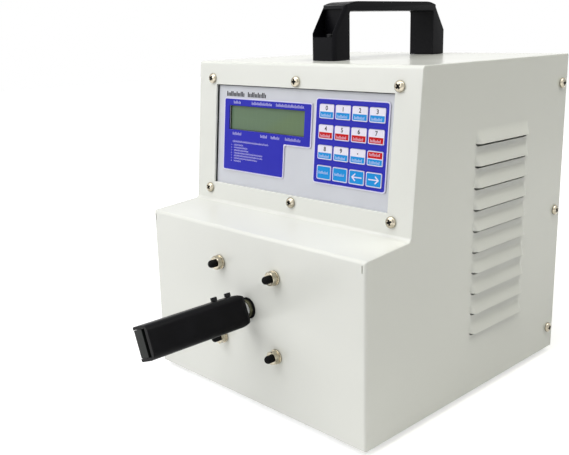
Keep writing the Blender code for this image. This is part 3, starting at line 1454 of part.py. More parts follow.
def make_power_units():
    """The power supply and the finned motor driver on the base plate."""
    floor = BASE_TOP + SEAT
    wide = SUPPLY_WIDTH / 2
    top = floor + SUPPLY_HEIGHT
    bm = bmesh.new()
    outline = (
        (-wide, floor),
        (wide, floor),
        (wide, top - SUPPLY_STEP_DROP),
        (wide - SUPPLY_STEP, top - SUPPLY_STEP_DROP),
        (wide - SUPPLY_STEP, top),
        (-wide, top),
    )
    prism(bm, outline, SUPPLY_FRONT, SUPPLY_REAR, "XZY")
    piece_from(bm, "power_supply", MACHINE, ZINC_STEEL)
    left = DRIVER_SIDE - DRIVER_WIDTH / 2
    pitch = DRIVER_WIDTH / FIN_COUNT
    fin = pitch * FIN_SHARE
    back = DRIVER_FRONT + DRIVER_DEPTH
    outline = [(left, DRIVER_FRONT), (left + DRIVER_WIDTH, DRIVER_FRONT)]
    outline += [(left + DRIVER_WIDTH, back)]
    for index in range(FIN_COUNT - 1, -1, -1):
        start = left + index * pitch
        if index < FIN_COUNT - 1:
            outline += [(start + pitch, back - FIN_DEPTH), (start + pitch, back)]
        outline += [(start + pitch - fin, back), (start + pitch - fin, back - FIN_DEPTH)]
    outline += [(left, back - FIN_DEPTH)]
    bm = bmesh.new()
    prism(bm, outline, floor, floor + DRIVER_HEIGHT)
    piece_from(bm, "motor_driver", MACHINE, DARK_STEEL)


def make_inlet():
    """The mains inlet: flange, body, mouth with three blades, and its two screws."""
    wide, tall = INLET_WIDTH / 2, INLET_HEIGHT / 2
    bm = bmesh.new()
    rounded_box(
        bm,
        (-wide, -tall, SEAT),
        (wide, tall, SEAT + INLET_FLANGE),
        INLET_MOUTH_CORNER,
        CORNER_STEPS,
        "XZY",
    )
    place = at(INLET_SIDE, REAR_OUTER, INLET_RISE)
    piece = piece_from(bm, "power_inlet", MACHINE, BLACK_NYLON, place)
    body = bmesh.new()
    across, up = INLET_BODY_WIDTH / 2, INLET_BODY_HEIGHT / 2
    box(body, (-across, -INLET_BODY_DEPTH, -up), (across, SEAT + INLET_FLANGE / 2, up))
    for side in (-1.0, 1.0):
        start = (side * INLET_SCREW_STEP / 2, SEAT + INLET_FLANGE / 2, 0.0)
        end = (start[0], SEAT + INLET_FLANGE + INLET_SCREW_PROUD, 0.0)
        rod(body, INLET_SCREW_RADIUS, start, end, PLAIN_STEPS)
    join(piece, body)
    mouth = bmesh.new()
    across, up = INLET_MOUTH_WIDTH / 2, INLET_MOUTH_HEIGHT / 2
    deep = SEAT + INLET_FLANGE - INLET_MOUTH_DEPTH
    outline = ((-across, -up), (across, -up), (across, up), (-across, up))
    radii = (SHEET, SHEET, INLET_MOUTH_CORNER, INLET_MOUTH_CORNER)
    prism(
        mouth,
        rounded_outline(outline, radii, CORNER_STEPS),
        deep,
        SEAT + INLET_FLANGE + OVERRUN,
        "XZY",
    )
    cut(piece, mouth)
    blades = bmesh.new()
    for step in (-1, 0, 1):
        middle = step * INLET_PIN_STEP
        rise = INLET_PIN_DROP if step == 0 else -INLET_PIN_DROP
        box(
            blades,
            (middle - INLET_PIN_WIDTH / 2, deep - SHEET, rise - INLET_PIN_HEIGHT / 2),
            (middle + INLET_PIN_WIDTH / 2, deep + INLET_PIN_LENGTH, rise + INLET_PIN_HEIGHT / 2),
        )
    join(piece, blades)


def make_switch():
    """The power switch's housing and the rocker that tilts in it."""
    wide, tall = SWITCH_WIDTH / 2, SWITCH_HEIGHT / 2
    place = at(SWITCH_SIDE, REAR_OUTER, SWITCH_RISE)
    top = SEAT + SWITCH_FLANGE
    bm = bmesh.new()
    rounded_box(bm, (-wide, -tall, SEAT), (wide, tall, top), KEY_CORNER, CORNER_STEPS, "XZY")
    housing = piece_from(bm, "switch_housing", MACHINE, BLACK_NYLON, place)
    body = bmesh.new()
    across, up = SWITCH_BODY_WIDTH / 2, SWITCH_BODY_HEIGHT / 2
    box(body, (-across, -SWITCH_BODY_DEPTH, -up), (across, top - SWITCH_FLANGE / 2, up))
    join(housing, body)
    well = bmesh.new()
    across, up = wide - SWITCH_RIM, tall - SWITCH_RIM
    box(well, (-across, -SWITCH_WELL, -up), (across, top + OVERRUN, up))
    cut(housing, well)
    pivot = -ROCKER_PIVOT_DEPTH
    half = across - ROCKER_GAP
    reach = up - ROCKER_GAP - ROCKER_PROUD * math.sin(2 * ROCKER_TILT)
    outline = (
        (-reach, pivot - ROCKER_DEPTH),
        (reach, pivot - ROCKER_DEPTH),
        (reach, top + ROCKER_PROUD / 2),
        (0.0, top),
        (-reach, top + ROCKER_PROUD / 2),
    )
    bm = bmesh.new()
    shifted = [(z, y - pivot) for z, y in outline]
    prism(bm, shifted, -half, half, "ZYX")
    tilt = Matrix.Rotation(-ROCKER_TILT, 4, "X")
    rocker_place = place @ at(0.0, pivot, 0.0) @ tilt
    piece_from(bm, "power_rocker", MACHINE, RED_NYLON, rocker_place)
    posts = bmesh.new()
    for side in (-1.0, 1.0):
        start = (side * (across + SHEET / 2), pivot, 0.0)
        end = (side * (across - ROCKER_GAP + SEAT / 2), pivot, 0.0)
        rod(posts, ROCKER_PIVOT_RADIUS, start, end, HOLE_STEPS)
    join(housing, posts)


def make_fuse_and_socket():
    """The fuse holder with its knurled cap, and the round foot pedal socket."""
    rear = towards((0.0, 1.0, 0.0))
    nut = SEAT + FUSE_NUT_HEIGHT
    profile = (
        (0.0, -FUSE_BODY_DEPTH),
        (FUSE_BODY_RADIUS, -FUSE_BODY_DEPTH),
        (FUSE_BODY_RADIUS, SEAT),
        (FUSE_NUT_RADIUS, SEAT),
        (FUSE_NUT_RADIUS, nut),
        (FUSE_CAP_RADIUS, nut),
        (FUSE_CAP_RADIUS, FUSE_CAP_PROUD - FUSE_CAP_EDGE),
        (FUSE_CAP_RADIUS - FUSE_CAP_EDGE, FUSE_CAP_PROUD),
        (0.0, FUSE_CAP_PROUD),
    )
    bm = bmesh.new()
    turned(bm, profile, rear)
    place = at(FUSE_SIDE, REAR_OUTER, FUSE_RISE)
    piece_from(bm, "fuse_holder", MACHINE, BLACK_NYLON, place)
    floor = SOCKET_BARREL_PROUD - SOCKET_BORE_DEPTH
    profile = (
        (0.0, -SOCKET_BODY_DEPTH),
        (SOCKET_BARREL_RADIUS, -SOCKET_BODY_DEPTH),
        (SOCKET_BARREL_RADIUS, SEAT),
        (SOCKET_FLANGE_RADIUS, SEAT),
        (SOCKET_FLANGE_RADIUS, SEAT + SOCKET_FLANGE),
        (SOCKET_BARREL_RADIUS, SEAT + SOCKET_FLANGE),
        (SOCKET_BARREL_RADIUS, SOCKET_BARREL_PROUD),
        (SOCKET_BORE, SOCKET_BARREL_PROUD),
        (SOCKET_BORE, floor),
        (0.0, floor),
    )
    bm = bmesh.new()
    turned(bm, profile, rear)
    place = at(SOCKET_SIDE, REAR_OUTER, SOCKET_RISE)
    socket = piece_from(bm, "pedal_socket", MACHINE, NICKEL, place)
    pins = bmesh.new()
    for index in range(SOCKET_PIN_COUNT):
        angle = index * math.tau / SOCKET_PIN_COUNT
        x, z = SOCKET_PIN_CIRCLE * math.cos(angle), SOCKET_PIN_CIRCLE * math.sin(angle)
        ends = ((x, floor - SHEET, z), (x, floor + SOCKET_PIN_LENGTH, z))
        rod(pins, SOCKET_PIN_RADIUS, *ends, HOLE_STEPS)
    join(socket, pins)


clear_scene()
PARTS = new_collection("wire_twisting_machine")
CUTTERS = new_collection("cutters")
CUTTERS.hide_render = True

WHITE_PAINT = finish("white powder coat", (0.78, 0.79, 0.76), 0.45)
ZINC_STEEL = finish("zinc plated steel", (0.55, 0.56, 0.56), 0.4, 1.0)
BRIGHT_STEEL = finish("bright steel", (0.62, 0.62, 0.62), 0.25, 1.0)
NICKEL = finish("nickel plate", (0.66, 0.62, 0.55), 0.22, 1.0)
DARK_STEEL = finish("black oxide steel", (0.04, 0.04, 0.045), 0.4, 0.6)
JAW_STEEL = finish("hardened grey steel", (0.07, 0.08, 0.075), 0.4, 0.8)
BLACK_ANODISED = finish("black anodised aluminium", (0.012, 0.012, 0.013), 0.38, 0.3)
BLACK_NYLON = finish("black moulded nylon", (0.014, 0.014, 0.016), 0.42)
BLACK_RUBBER = finish("black rubber", (0.012, 0.012, 0.012), 0.75)
RED_NYLON = finish("red rocker nylon", (0.55, 0.02, 0.02), 0.35)
GREY_FILM = finish("grey printed film", (0.62, 0.64, 0.70), 0.4)
BLUE_FILM = finish("blue printed film", (0.055, 0.05, 0.58), 0.35)
LIGHT_BLUE_FILM = finish("light blue printed film", (0.013, 0.30, 0.75), 0.35)
RED_FILM = finish("red printed film", (0.57, 0.007, 0.01), 0.35)
WHITE_FILM = finish("white printed film", (0.87, 0.83, 0.95), 0.35)
LCD_GREEN = finish("green display glass", (0.14, 0.22, 0.14), 0.15)
BOARD_GREEN = finish("green circuit board", (0.02, 0.13, 0.05), 0.45)
MOTOR_PAINT = finish("black motor enamel", (0.03, 0.03, 0.032), 0.5, 0.2)

FACE_MATRIX = at(0.0, LEDGE_DEPTH, FRONT_HEIGHT + LEDGE_RISE) @ Matrix.Rotation(FACE_TILT, 4, "X")
MACHINE = frame("machine_frame", None, at(0.0, FRONT_PLACE, FOOT_STAND))
FACE = frame("control_face_frame", MACHINE, FACE_MATRIX)
SPINDLE_POINT = frame("spindle_frame", MACHINE, at(0.0, 0.0, SPINDLE_RISE))
HEAD = frame("head_frame", SPINDLE_POINT, Matrix.Rotation(-HEAD_TURN, 4, "Y"))

make_casing()
make_base()
make_feet()
make_rear_panel()
make_handle()
make_handle_screws()
make_control_plate()
make_overlay()
make_display()
make_keypad()
make_board()
make_motor()
make_spindle()
make_studs()
make_head()
make_head_screws()
make_jaw()
make_power_units()
make_inlet()
make_switch()
make_fuse_and_socket()
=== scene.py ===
"""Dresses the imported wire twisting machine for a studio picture: finer shapes and real
finishes for every visible piece, a pale floor, soft lamps and a camera."""

import json
import math

import bmesh
import bpy
from bpy.props import FloatProperty, FloatVectorProperty, IntProperty, PointerProperty
from mathutils import Matrix, Vector

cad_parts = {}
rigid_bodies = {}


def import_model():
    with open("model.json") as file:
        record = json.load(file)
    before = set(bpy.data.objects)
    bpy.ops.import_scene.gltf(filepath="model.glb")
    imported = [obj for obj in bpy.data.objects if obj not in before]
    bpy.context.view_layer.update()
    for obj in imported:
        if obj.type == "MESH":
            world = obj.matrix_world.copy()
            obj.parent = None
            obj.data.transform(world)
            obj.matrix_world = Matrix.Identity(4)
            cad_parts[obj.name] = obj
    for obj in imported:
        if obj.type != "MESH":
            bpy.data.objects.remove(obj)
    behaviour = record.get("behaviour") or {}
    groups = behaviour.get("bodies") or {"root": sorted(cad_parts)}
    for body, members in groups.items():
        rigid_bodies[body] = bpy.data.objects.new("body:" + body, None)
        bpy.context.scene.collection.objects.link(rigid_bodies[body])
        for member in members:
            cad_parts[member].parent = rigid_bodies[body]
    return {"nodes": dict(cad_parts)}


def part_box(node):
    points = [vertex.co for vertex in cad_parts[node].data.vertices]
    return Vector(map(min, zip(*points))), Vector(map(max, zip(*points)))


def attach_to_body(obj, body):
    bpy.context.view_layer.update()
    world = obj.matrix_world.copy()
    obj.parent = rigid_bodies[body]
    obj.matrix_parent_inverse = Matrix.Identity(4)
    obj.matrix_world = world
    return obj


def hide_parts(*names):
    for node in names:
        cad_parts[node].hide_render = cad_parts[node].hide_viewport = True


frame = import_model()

bl_info = {
    "name": "Wire Twisting Machine",
    "version": (1, 0, 0),
    "blender": (4, 5, 0),
    "location": "View3D > Sidebar > Twister",
    "description": "Builds a bench wire twisting machine around its packed model",
    "category": "Object",
}

MM = 0.001

# Sides of a round shape.
FINE, PLAIN, HEX = 48, 32, 6

# How far a cutting body reaches past what it cuts, and how far print lies off its film.
PAST = 2 * MM
PRINT = 0.03 * MM

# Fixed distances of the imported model, as its source gives them.
SEAT = 0.3 * MM
SCREW_HOLE = 2.9 * MM
SIDE_SCREW_INSET = 10 * MM
HEAD_SCREWS = (17.6 * MM, 32.4 * MM)
PIN_SIDE, PIN_REACH, PIN_HOLE = -3 * MM, 62 * MM, 1.8 * MM
SPINDLE_HOLE = 7.3 * MM
KEY_THICK = 1.1 * MM
CASE_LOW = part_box("casing_shell")[0]
SPINDLE_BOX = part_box("spindle")
SPINDLE_RISE = (SPINDLE_BOX[0].z + SPINDLE_BOX[1].z) / 2 - CASE_LOW.z
MACHINE = Matrix.Translation((0.0, CASE_LOW.y, CASE_LOW.z))
HEAD = MACHINE @ Matrix.Translation((0.0, 0.0, SPINDLE_RISE))
HEAD = HEAD @ Matrix.Rotation(-math.radians(21.2), 4, "Y")

# Outline axes: where an outline's two directions and its extrusion point.
ALONG_X = Matrix(((0, 0, 1, 0), (1, 0, 0, 0), (0, 1, 0, 0), (0, 0, 0, 1)))
ALONG_Y = Matrix(((1, 0, 0, 0), (0, 0, 1, 0), (0, 1, 0, 0), (0, 0, 0, 1)))
ALONG_Z = Matrix()
ALONG_UP = Matrix(((0, 0, 1, 0), (0, 1, 0, 0), (1, 0, 0, 0), (0, 0, 0, 1)))

KEY_ROWS = (
    ("key_0", "key_1", "key_2", "key_3"),
    ("key_4", "key_5", "key_6", "key_7"),
    ("key_8", "key_9", "key_point", "key_enter"),
    ("key_mode", "key_clear", "key_left", "key_right"),
)


def linear(code):
    """The linear colour of an sRGB hex code."""
    channels = [int(code[i : i + 2], 16) / 255.0 for i in (0, 2, 4)]
    return tuple(c / 12.92 if c <= 0.04045 else ((c + 0.055) / 1.055) ** 2.4 for c in channels)


def length(name, size, description):
    """A property for a size given in millimetres."""
    return FloatProperty(
        name=name, description=description, default=size * MM, min=0.0, unit="LENGTH"
    )


def angle(name, degrees, description):
    """A property for an angle given in degrees."""
    return FloatProperty(
        name=name, description=description, default=math.radians(degrees), subtype="ANGLE"
    )


def number(name, value, description):
    """A property for a plain number."""
    return FloatProperty(name=name, description=description, default=value)


def colour(name, code, description):
    """A property for a colour given as an sRGB hex code."""
    return FloatVectorProperty(
        name=name, description=description, default=linear(code), subtype="COLOR", size=3,
        min=0.0, max=1.0,
    )


class CasingSizes(bpy.types.PropertyGroup):
    """Sizes of the folded casing and its louvres."""

    sheet: length("Sheet", 1.5, "Thickness of the steel sheet")
    width: length("Width", 265.0, "Width over the two sides")
    depth: length("Depth", 291.0, "Depth from the front wall to the rear")
    height: length("Height", 291.0, "Height of the tall rear part")
    front_height: length("Front height", 154.0, "Height of the lower front wall")
    ledge_depth: length("Ledge depth", 54.0, "Depth of the ledge under the keypad")
    ledge_rise: length("Ledge rise", 4.0, "How much the ledge rises to the rear")
    face_lean: length("Face lean", 12.0, "How far the control face leans back")
    bend: length("Bend radius", 3.0, "Outer radius of the folds")
    weld: length("Weld radius", 0.9, "Radius of the ground side seams")
    louvre_length: length("Louvre length", 84.0, "Length of one louvre")
    louvre_height: length("Louvre height", 12.5, "Height of one louvre's hood")
    louvre_proud: length("Louvre reach", 4.45, "How far a hood stands out")
    louvre_pitch: length("Louvre pitch", 18.5, "Step from one louvre to the next")
    louvre_low: length("Lowest louvre", 57.5, "Height of the lowest slot")
    louvre_middle: length("Louvre middle", 181.0, "How far back the louvres centre")
    louvre_end: length("Louvre end", 7.0, "Length of a hood's sloped end")
    louvre_gap: length("Louvre gap", 2.6, "How far the slot opens below its hood")
    louvre_count: IntProperty(
        name="Louvres", description="Louvres in each side", default=10, min=1, max=14
    )


class ControlSizes(bpy.types.PropertyGroup):
    """Sizes of the control face: its window, printed fields, display and keys."""

    window_width: length("Window width", 214.0, "Width of the casing's window")
    window_height: length("Window height", 93.34, "Height of the casing's window")
    window_rise: length("Window middle", 65.47, "Middle of the window up the face")
    window_depth: length("Window depth", 3.0, "Depth of the turned-in edge")
    outline: length("Outline", 0.9, "Width of the pale line round each field")
    field_left: length("Field left", 96.0, "Display field's left edge, left of the middle")
    field_right: length("Field right", 17.7, "Display field's right edge")
    field_low: length("Field low", 32.9, "Display field's lower edge up the face")
    field_high: length("Field high", 99.4, "Display field's upper edge up the face")
    notch_left: length("Notch left", 14.8, "Notch's left edge, left of the middle")
    notch_high: length("Notch high", 62.7, "Notch's upper edge up the face")
    field_corner: length("Field corner", 1.5, "Corner radius of the display field")
    keypad_left: length("Keypad left", 23.5, "Keypad's left edge")
    keypad_right: length("Keypad right", 101.3, "Keypad's right edge")
    keypad_low: length("Keypad low", 34.3, "Keypad's lower edge up the face")
    keypad_high: length("Keypad high", 104.6, "Keypad's upper edge up the face")
    keypad_corner: length("Keypad corner", 2.5, "Corner radius of the keypad")
    display_left: length("Display left", 89.6, "Display's left edge, left of the middle")
    display_width: length("Display width", 99.5, "Width of the display's window")
    display_low: length("Display low", 70.9, "Display's lower edge up the face")
    display_height: length("Display height", 22.5, "Height of the display's window")
    key_width: length("Key width", 16.2, "Width of a key")
    key_height: length("Key height", 11.8, "Height of a key")
    key_corner: length("Key corner", 1.2, "Corner radius of a key")
    key_line: length("Key line", 0.75, "Width of the pale line round a key")
    key_split: length("Key split", 0.3, "How far the two halves of a key part below its middle")
    digit_height: length("Digit height", 3.7, "Height of the figures on the keys")


class HardwareSizes(bpy.types.PropertyGroup):
    """Sizes of screws, nuts, caps and feet."""

    screw_head: length("Screw head", 4.75, "Radius of a pan head")
    screw_proud: length("Screw height", 3.0, "Height of a pan head")
    recess_length: length("Recess length", 6.2, "Length of the cross recess")
    recess_width: length("Recess width", 2.1, "Width of the cross recess")
    recess_depth: length("Recess depth", 1.7, "Depth of the cross recess")
    nut_radius: length("Nut radius", 6.3, "Radius of a motor nut over its corners")
    nut_height: length("Nut height", 4.8, "Height of a motor nut")
    washer_radius: length("Washer radius", 6.5, "Radius of a motor washer")
    washer: length("Washer", 1.5, "Thickness of a motor washer")
    stud_radius: length("Stud radius", 2.6, "Radius of a motor stud")
    stud_end: length("Stud end", 4.6, "Length of a stud in front of its nut")
    cap_radius: length("Cap radius", 3.4, "Radius of a rubber stud cap")
    cap_end: length("Cap end", 1.5, "Thickness of a cap's closed end")
    cap_round: length("Cap rounding", 2.9, "Radius of the edge of a cap's closed end")
    foot_radius: length("Foot radius", 10.0, "Radius of a rubber foot")
    foot_height: length("Foot height", 6.0, "Height of a rubber foot")


class HandleSizes(bpy.types.PropertyGroup):
    """Sizes of the moulded carry handle."""

    length: length("Length", 165.5, "Length over both legs")
    width: length("Width", 28.2, "Width across the grip")
    height: length("Height", 50.4, "Height above the casing")
    leg: length("Leg", 20.3, "Thickness of a leg")
    straight: length("Straight", 24.0, "Height at which a leg starts to lean in")
    lean: length("Lean", 15.0, "How far a leg leans in")
    crown: length("Crown", 17.0, "Length of the curve from a leg into the top")
    crown_rise: length("Crown rise", 3.5, "Height of the curve into the top")
    pocket_low: length("Pocket low", 20.0, "Floor of a leg's pocket above the casing")
    pocket_high: length("Pocket high", 44.2, "Roof of a leg's pocket above the casing")
    bar: length("Bar", 8.3, "Thickness of the grip bar")
    edge: length("Edge", 4.0, "Radius of the long edges")
    cheek: length("Cheek", 2.4, "Wall beside a pocket")


class HeadSizes(bpy.types.PropertyGroup):
    """Sizes of the clamp head."""

    tip: length("Tip", 107.6, "Distance from the front wall to the head's end")
    base: length("Base", 4.0, "Distance from the front wall to the head's base")
    width: length("Width", 20.0, "Width across the jaw")
    height: length("Height", 28.4, "Height along the jaw's pin")
    corner: length("Corner", 6.0, "Radius of the long edges on the grip's side")
    jaw_corner: length("Jaw corner", 1.4, "Radius of the long edges on the jaw's side")
    base_round: length("Base rounding", 12.5, "Radius of the edges of the base")
    wall: length("Wall", 2.6, "Wall above and below the jaw")
    grip_wall: length("Grip wall", 3.8, "Thick wall that the jaw closes on")
    slot: length("Slot", 3.7, "Width of the slot for the wires")
    cavity: length("Cavity", 44.0, "Where the jaw's cavity starts")


class FinishColours(bpy.types.PropertyGroup):
    """Colours of the finishes."""

    paint: colour("Casing paint", "E9EAE4", "White powder coat of the casing")
    zinc: colour("Zinc", "B9BEC4", "Zinc plate of the inner sheet parts")
    nickel: colour("Nickel", "BDB5A3", "Nickel plate of screws, nuts and collar")
    steel: colour("Bright steel", "C4C5C7", "Ground steel of spindle, pin and spring")
    oxide: colour("Black oxide", "151517", "Oxide-blacked steel screws")
    anodised: colour("Anodised black", "08080B", "Anodised aluminium of the head")
    jaw: colour("Jaw steel", "121614", "Hardened steel of the jaw")
    collar: colour("Collar", "77765F", "Dulled nickel of the spindle's collar")
    # The recess colour is painted shade for the screws' cross recesses.
    recess: colour("Recess", "15110D", "Oil and dust in the screws' recesses")
    nylon: colour("Black nylon", "0A0A0E", "Moulded nylon of handle and sockets")
    rubber: colour("Black rubber", "101011", "Rubber of caps, seal and feet")
    rocker: colour("Rocker red", "C01418", "Moulded nylon of the power rocker")
    film_grey: colour("Film grey", "D5D7DE", "Printed ground of the control film")
    film_blue: colour("Film blue", "2F30B4", "Blue fields of the control film")
    film_sky: colour("Film light blue", "1C93E0", "Light blue key fields")
    film_red: colour("Film red", "C91217", "Red key fields")
    film_white: colour("Film white", "F0ECFA", "White key fields")
    film_line: colour("Film line", "E6E3FB", "Pale outlines on the film")
    film_digit: colour("Film digit", "16161E", "Dark figures on the keys")
    display: colour("Display", "667E62", "Unlit display")
    display_edge: colour("Display edge", "687F5C", "Unlit display at its lower right")
    board: colour("Board", "1F6B3A", "Solder mask of the circuit board")
    enamel: colour("Enamel", "26272A", "Enamel of the motor")


class StageSettings(bpy.types.PropertyGroup):
    """Camera, lamps and floor."""

    azimuth: angle("Azimuth", 46.132, "Camera's direction round the machine, from its front")
    elevation: angle("Elevation", 14.257, "Camera's height angle above the floor")
    roll: angle("Roll", -1.442, "Camera's turn about its own line of sight")
    place: FloatVectorProperty(
        name="Place",
        description="Where the camera stands, from the foot of the front wall's middle",
        default=(0.48699, -0.42189, 0.32109),
        subtype="XYZ",
        unit="LENGTH",
    )
    lens: number("Lens", 49.91, "Focal length in millimetres on a 36 mm wide sensor")
    key_power: number("Key lamp", 20.0, "Power of the front left softbox")
    top_power: number("Top lamp", 13.5, "Power of the softbox above the front")
    side_power: number("Side lamp", 12.0, "Power of the high softbox on the right")
    ambient: number("Ambient", 0.05, "Light that comes from all round")
    floor: colour("Floor", "F2F2F2", "Colour of the pale floor")
    floor_lift: number("Floor lift", 0.55, "Light that the floor near the machine shows")


GROUPS = {
    "twister_casing": CasingSizes,
    "twister_controls": ControlSizes,
    "twister_hardware": HardwareSizes,
    "twister_handle": HandleSizes,
    "twister_head": HeadSizes,
    "twister_colours": FinishColours,
    "twister_stage": StageSettings,
}


def settings(group):
    """The scene's settings of one group."""
    return getattr(bpy.context.scene, "twister_" + group)


# Places


def mm(*values):
    """Lengths, or points in brackets, that are given in millimetres."""
    return tuple(mm(*each) if isinstance(each, tuple) else each * MM for each in values)


def at(*place):
    """A matrix that moves to this place."""
    return Matrix.Translation(place)


def towards(*direction):
    """A matrix that turns Z to this direction."""
    return Vector(direction).to_track_quat("Z", "Y").to_matrix().to_4x4()


def turn(degrees, axis="Z"):
    """A matrix that turns about an axis."""
    return Matrix.Rotation(math.radians(degrees), 4, axis)


def face_matrix():
    """The control face's frame: X to the right, Y up the face and Z out of it."""
    case = settings("casing")
    rise = case.height - case.front_height - case.ledge_rise
    tilt = math.atan2(rise, case.face_lean)
    foot = at(0.0, case.ledge_depth, case.front_height + case.ledge_rise)
    return MACHINE @ foot @ Matrix.Rotation(tilt, 4, "X")


def rear_place(x, z):
    """The frame of a rear fitting: X as the machine's, Y out of the panel and Z up."""
    return MACHINE @ at(x * MM, settings("casing").depth, z * MM)


def standing(node):
    """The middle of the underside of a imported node's box."""
    low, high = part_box(node)
    middle = (low + high) / 2
    return at(middle.x, middle.y, low.z)


# Outlines


def quarter(steps):
    """The sines and cosines of the steps through a quarter turn."""
    angles = [math.radians(90.0) * step / steps for step in range(steps + 1)]
    return [(math.sin(each), math.cos(each)) for each in angles]


def rounded(low, high, radius, steps=6):
    """A rectangle's outline between two corners. Its corners have one radius, or each its
    own, from the lower right one round to the lower left one."""
    (x0, y0), (x1, y1) = low, high
    radii = radius if isinstance(radius, tuple) else (radius,) * 4
    corners = ((x1, y0, -1, 1), (x1, y1, -1, -1), (x0, y1, 1, -1), (x0, y0, 1, 1))
    points = []
    for index, (x, y, right, up) in enumerate(corners):
        for step in range(steps + 1):
            spot = math.radians(90.0) * (index - 1 + step / steps)
            across, along = right + math.cos(spot), up + math.sin(spot)
            points.append((x + radii[index] * across, y + radii[index] * along))
    return points


def centred(across, up, radius, steps=6):
    """A rounded rectangle's outline round the origin, from half its width and height."""
    return rounded((-across, -up), (across, up), radius, steps)


def soft_corner(before, corner, after, radius, steps):
    """Points that round one corner of an outline."""
    middle = Vector(corner)
    back, ahead = Vector(before) - middle, Vector(after) - middle
    reach = min(radius, back.length * 0.45, ahead.length * 0.45)
    back, ahead = back.normalized() * reach, ahead.normalized() * reach
    shares = [step / steps for step in range(steps + 1)]
    return [tuple(middle + back * (1 - share) ** 2 + ahead * share**2) for share in shares]


def softened(outline, radius):
    """A closed outline with each of its corners rounded."""
    points = []
    for before, corner, after in zip(outline[-1:] + outline, outline, outline[1:] + outline):
        points += soft_corner(before, corner, after, radius, 5)
    return points


def soft_profile(profile, radius):
    """A turned profile with each inner corner rounded, apart from those on the axis."""
    points = [profile[0]]
    for before, corner, after in zip(profile, profile[1:], profile[2:]):
        points += soft_corner(before, corner, after, radius, 4)
    return points + [profile[-1]]


def grown(outline, reach):
    """A closed outline with square corners, moved outwards. Its points run anticlockwise."""
    moved = []
    for before, spot, after in zip(outline[-1:] + outline, outline, outline[1:] + outline):
        first = (Vector(spot) - Vector(before)).normalized()
        last = (Vector(after) - Vector(spot)).normalized()
        right = Vector((first.y + last.y, -first.x - last.x))
        moved.append(tuple(Vector(spot) + right * reach))
    return moved


# Bodies


def box(bm, first, second, matrix=ALONG_Z):
    """Adds a box between two opposite corners."""
    low, high = Vector(tuple(map(min, first, second))), Vector(tuple(map(max, first, second)))
    place = at(*((low + high) / 2)) @ Matrix.Diagonal((*(high - low), 1.0))
    bmesh.ops.create_cube(bm, size=1.0, matrix=matrix @ place)


def rod(bm, radius, start, end, steps=PLAIN, end_radius=None):
    """Adds a cylinder, or a cone, from one point to another."""
    start, end = Vector(start), Vector(end)
    bmesh.ops.create_cone(
        bm,
        cap_ends=True,
        segments=steps,
        radius1=radius,
        radius2=radius if end_radius is None else end_radius,
        depth=(end - start).length,
        matrix=at(*((start + end) / 2)) @ towards(*(end - start)),
    )


def points_of(bm, outline, level, matrix=ALONG_Z):
    """Adds an outline's points at one level."""
    return [bm.verts.new(matrix @ Vector((*point, level))) for point in outline]


def band(bm, first, second):
    """Adds the faces between two closed rows of points."""
    for a, b, c, d in zip(first, first[1:] + first[:1], second[1:] + second[:1], second):
        bm.faces.new((a, b, c, d))


def slab(bm, outline, low, high, matrix=ALONG_Z):
    """Adds a flat outline extruded from low to high."""
    rows = [points_of(bm, outline, level, matrix) for level in (low, high)]
    bm.faces.new(rows[0])
    bm.faces.new(rows[1])
    band(bm, *rows)


def turned(bm, profile, matrix=ALONG_Z, steps=FINE):
    """Adds a shape turned about Z from its (radius, height) points."""
    verts = [bm.verts.new(matrix @ Vector((r, 0.0, z))) for r, z in profile]
    edges = [bm.edges.new(pair) for pair in zip(verts, verts[1:])]
    bmesh.ops.spin(
        bm,
        geom=verts + edges,
        cent=matrix.translation,
        axis=matrix.to_3x3() @ Vector((0.0, 0.0, 1.0)),
        angle=math.tau,
        steps=steps,
        use_merge=True,
    )
    bmesh.ops.remove_doubles(bm, verts=bm.verts, dist=0.001 * MM)


def ring(bm, inner, outer, low, high, soft):
    """Adds a turned ring with soft edges."""
    corners = ((inner, low), (outer, low), (outer, high), (inner, high), (inner, low))
    turned(bm, soft_profile(corners, soft))


def solid(shape, *sizes):
    """A new set of bodies that starts with one shape."""
    bm = bmesh.new()
    shape(bm, *sizes)
    return bm


def outward(bm):
    """The bodies with all their faces turned outwards."""
    bmesh.ops.recalc_face_normals(bm, faces=bm.faces)
    return bm


def to_mesh(bm, name):
    """A mesh of these bodies, which are used up."""
    shape = bpy.data.meshes.new(name)
    bm.to_mesh(shape)
    bm.free()
    return shape


def add_object(name, data):
    """A new object in the scene."""
    made = bpy.data.objects.new(name, data)
    bpy.context.scene.collection.objects.link(made)
    return made


def evaluated(holder):
    """The shape that an object's modifiers give, after which the object is removed."""
    bpy.context.view_layer.update()
    ready = holder.evaluated_get(bpy.context.evaluated_depsgraph_get())
    shape, source = bpy.data.meshes.new_from_object(ready), holder.data
    bm = bmesh.new()
    bm.from_mesh(shape)
    bpy.data.objects.remove(holder)
    bpy.data.batch_remove([shape, source])
    return bm


def modified(bm, kind, **values):
    """The bodies after one modifier with these values."""
    holder = add_object("modified", to_mesh(bm, "modified"))
    step = holder.modifiers.new("step", kind)
    for name, value in values.items():
        setattr(step, name, value)
    return evaluated(holder)


def combine(bm, other, operation="DIFFERENCE"):
    """The bodies of bm after a Boolean with the other ones, both of which are used up."""
    shape = to_mesh(outward(other), "tool")
    tool = add_object("tool", shape)
    made = modified(
        outward(bm), "BOOLEAN", operation=operation, solver="EXACT", use_self=True, object=tool
    )
    bpy.data.objects.remove(tool)
    bpy.data.meshes.remove(shape)
    return made


def add_mesh(bm, other):
    """Adds the bodies of another set, which is used up."""
    shape = to_mesh(other, "part")
    bm.from_mesh(shape)
    bpy.data.meshes.remove(shape)


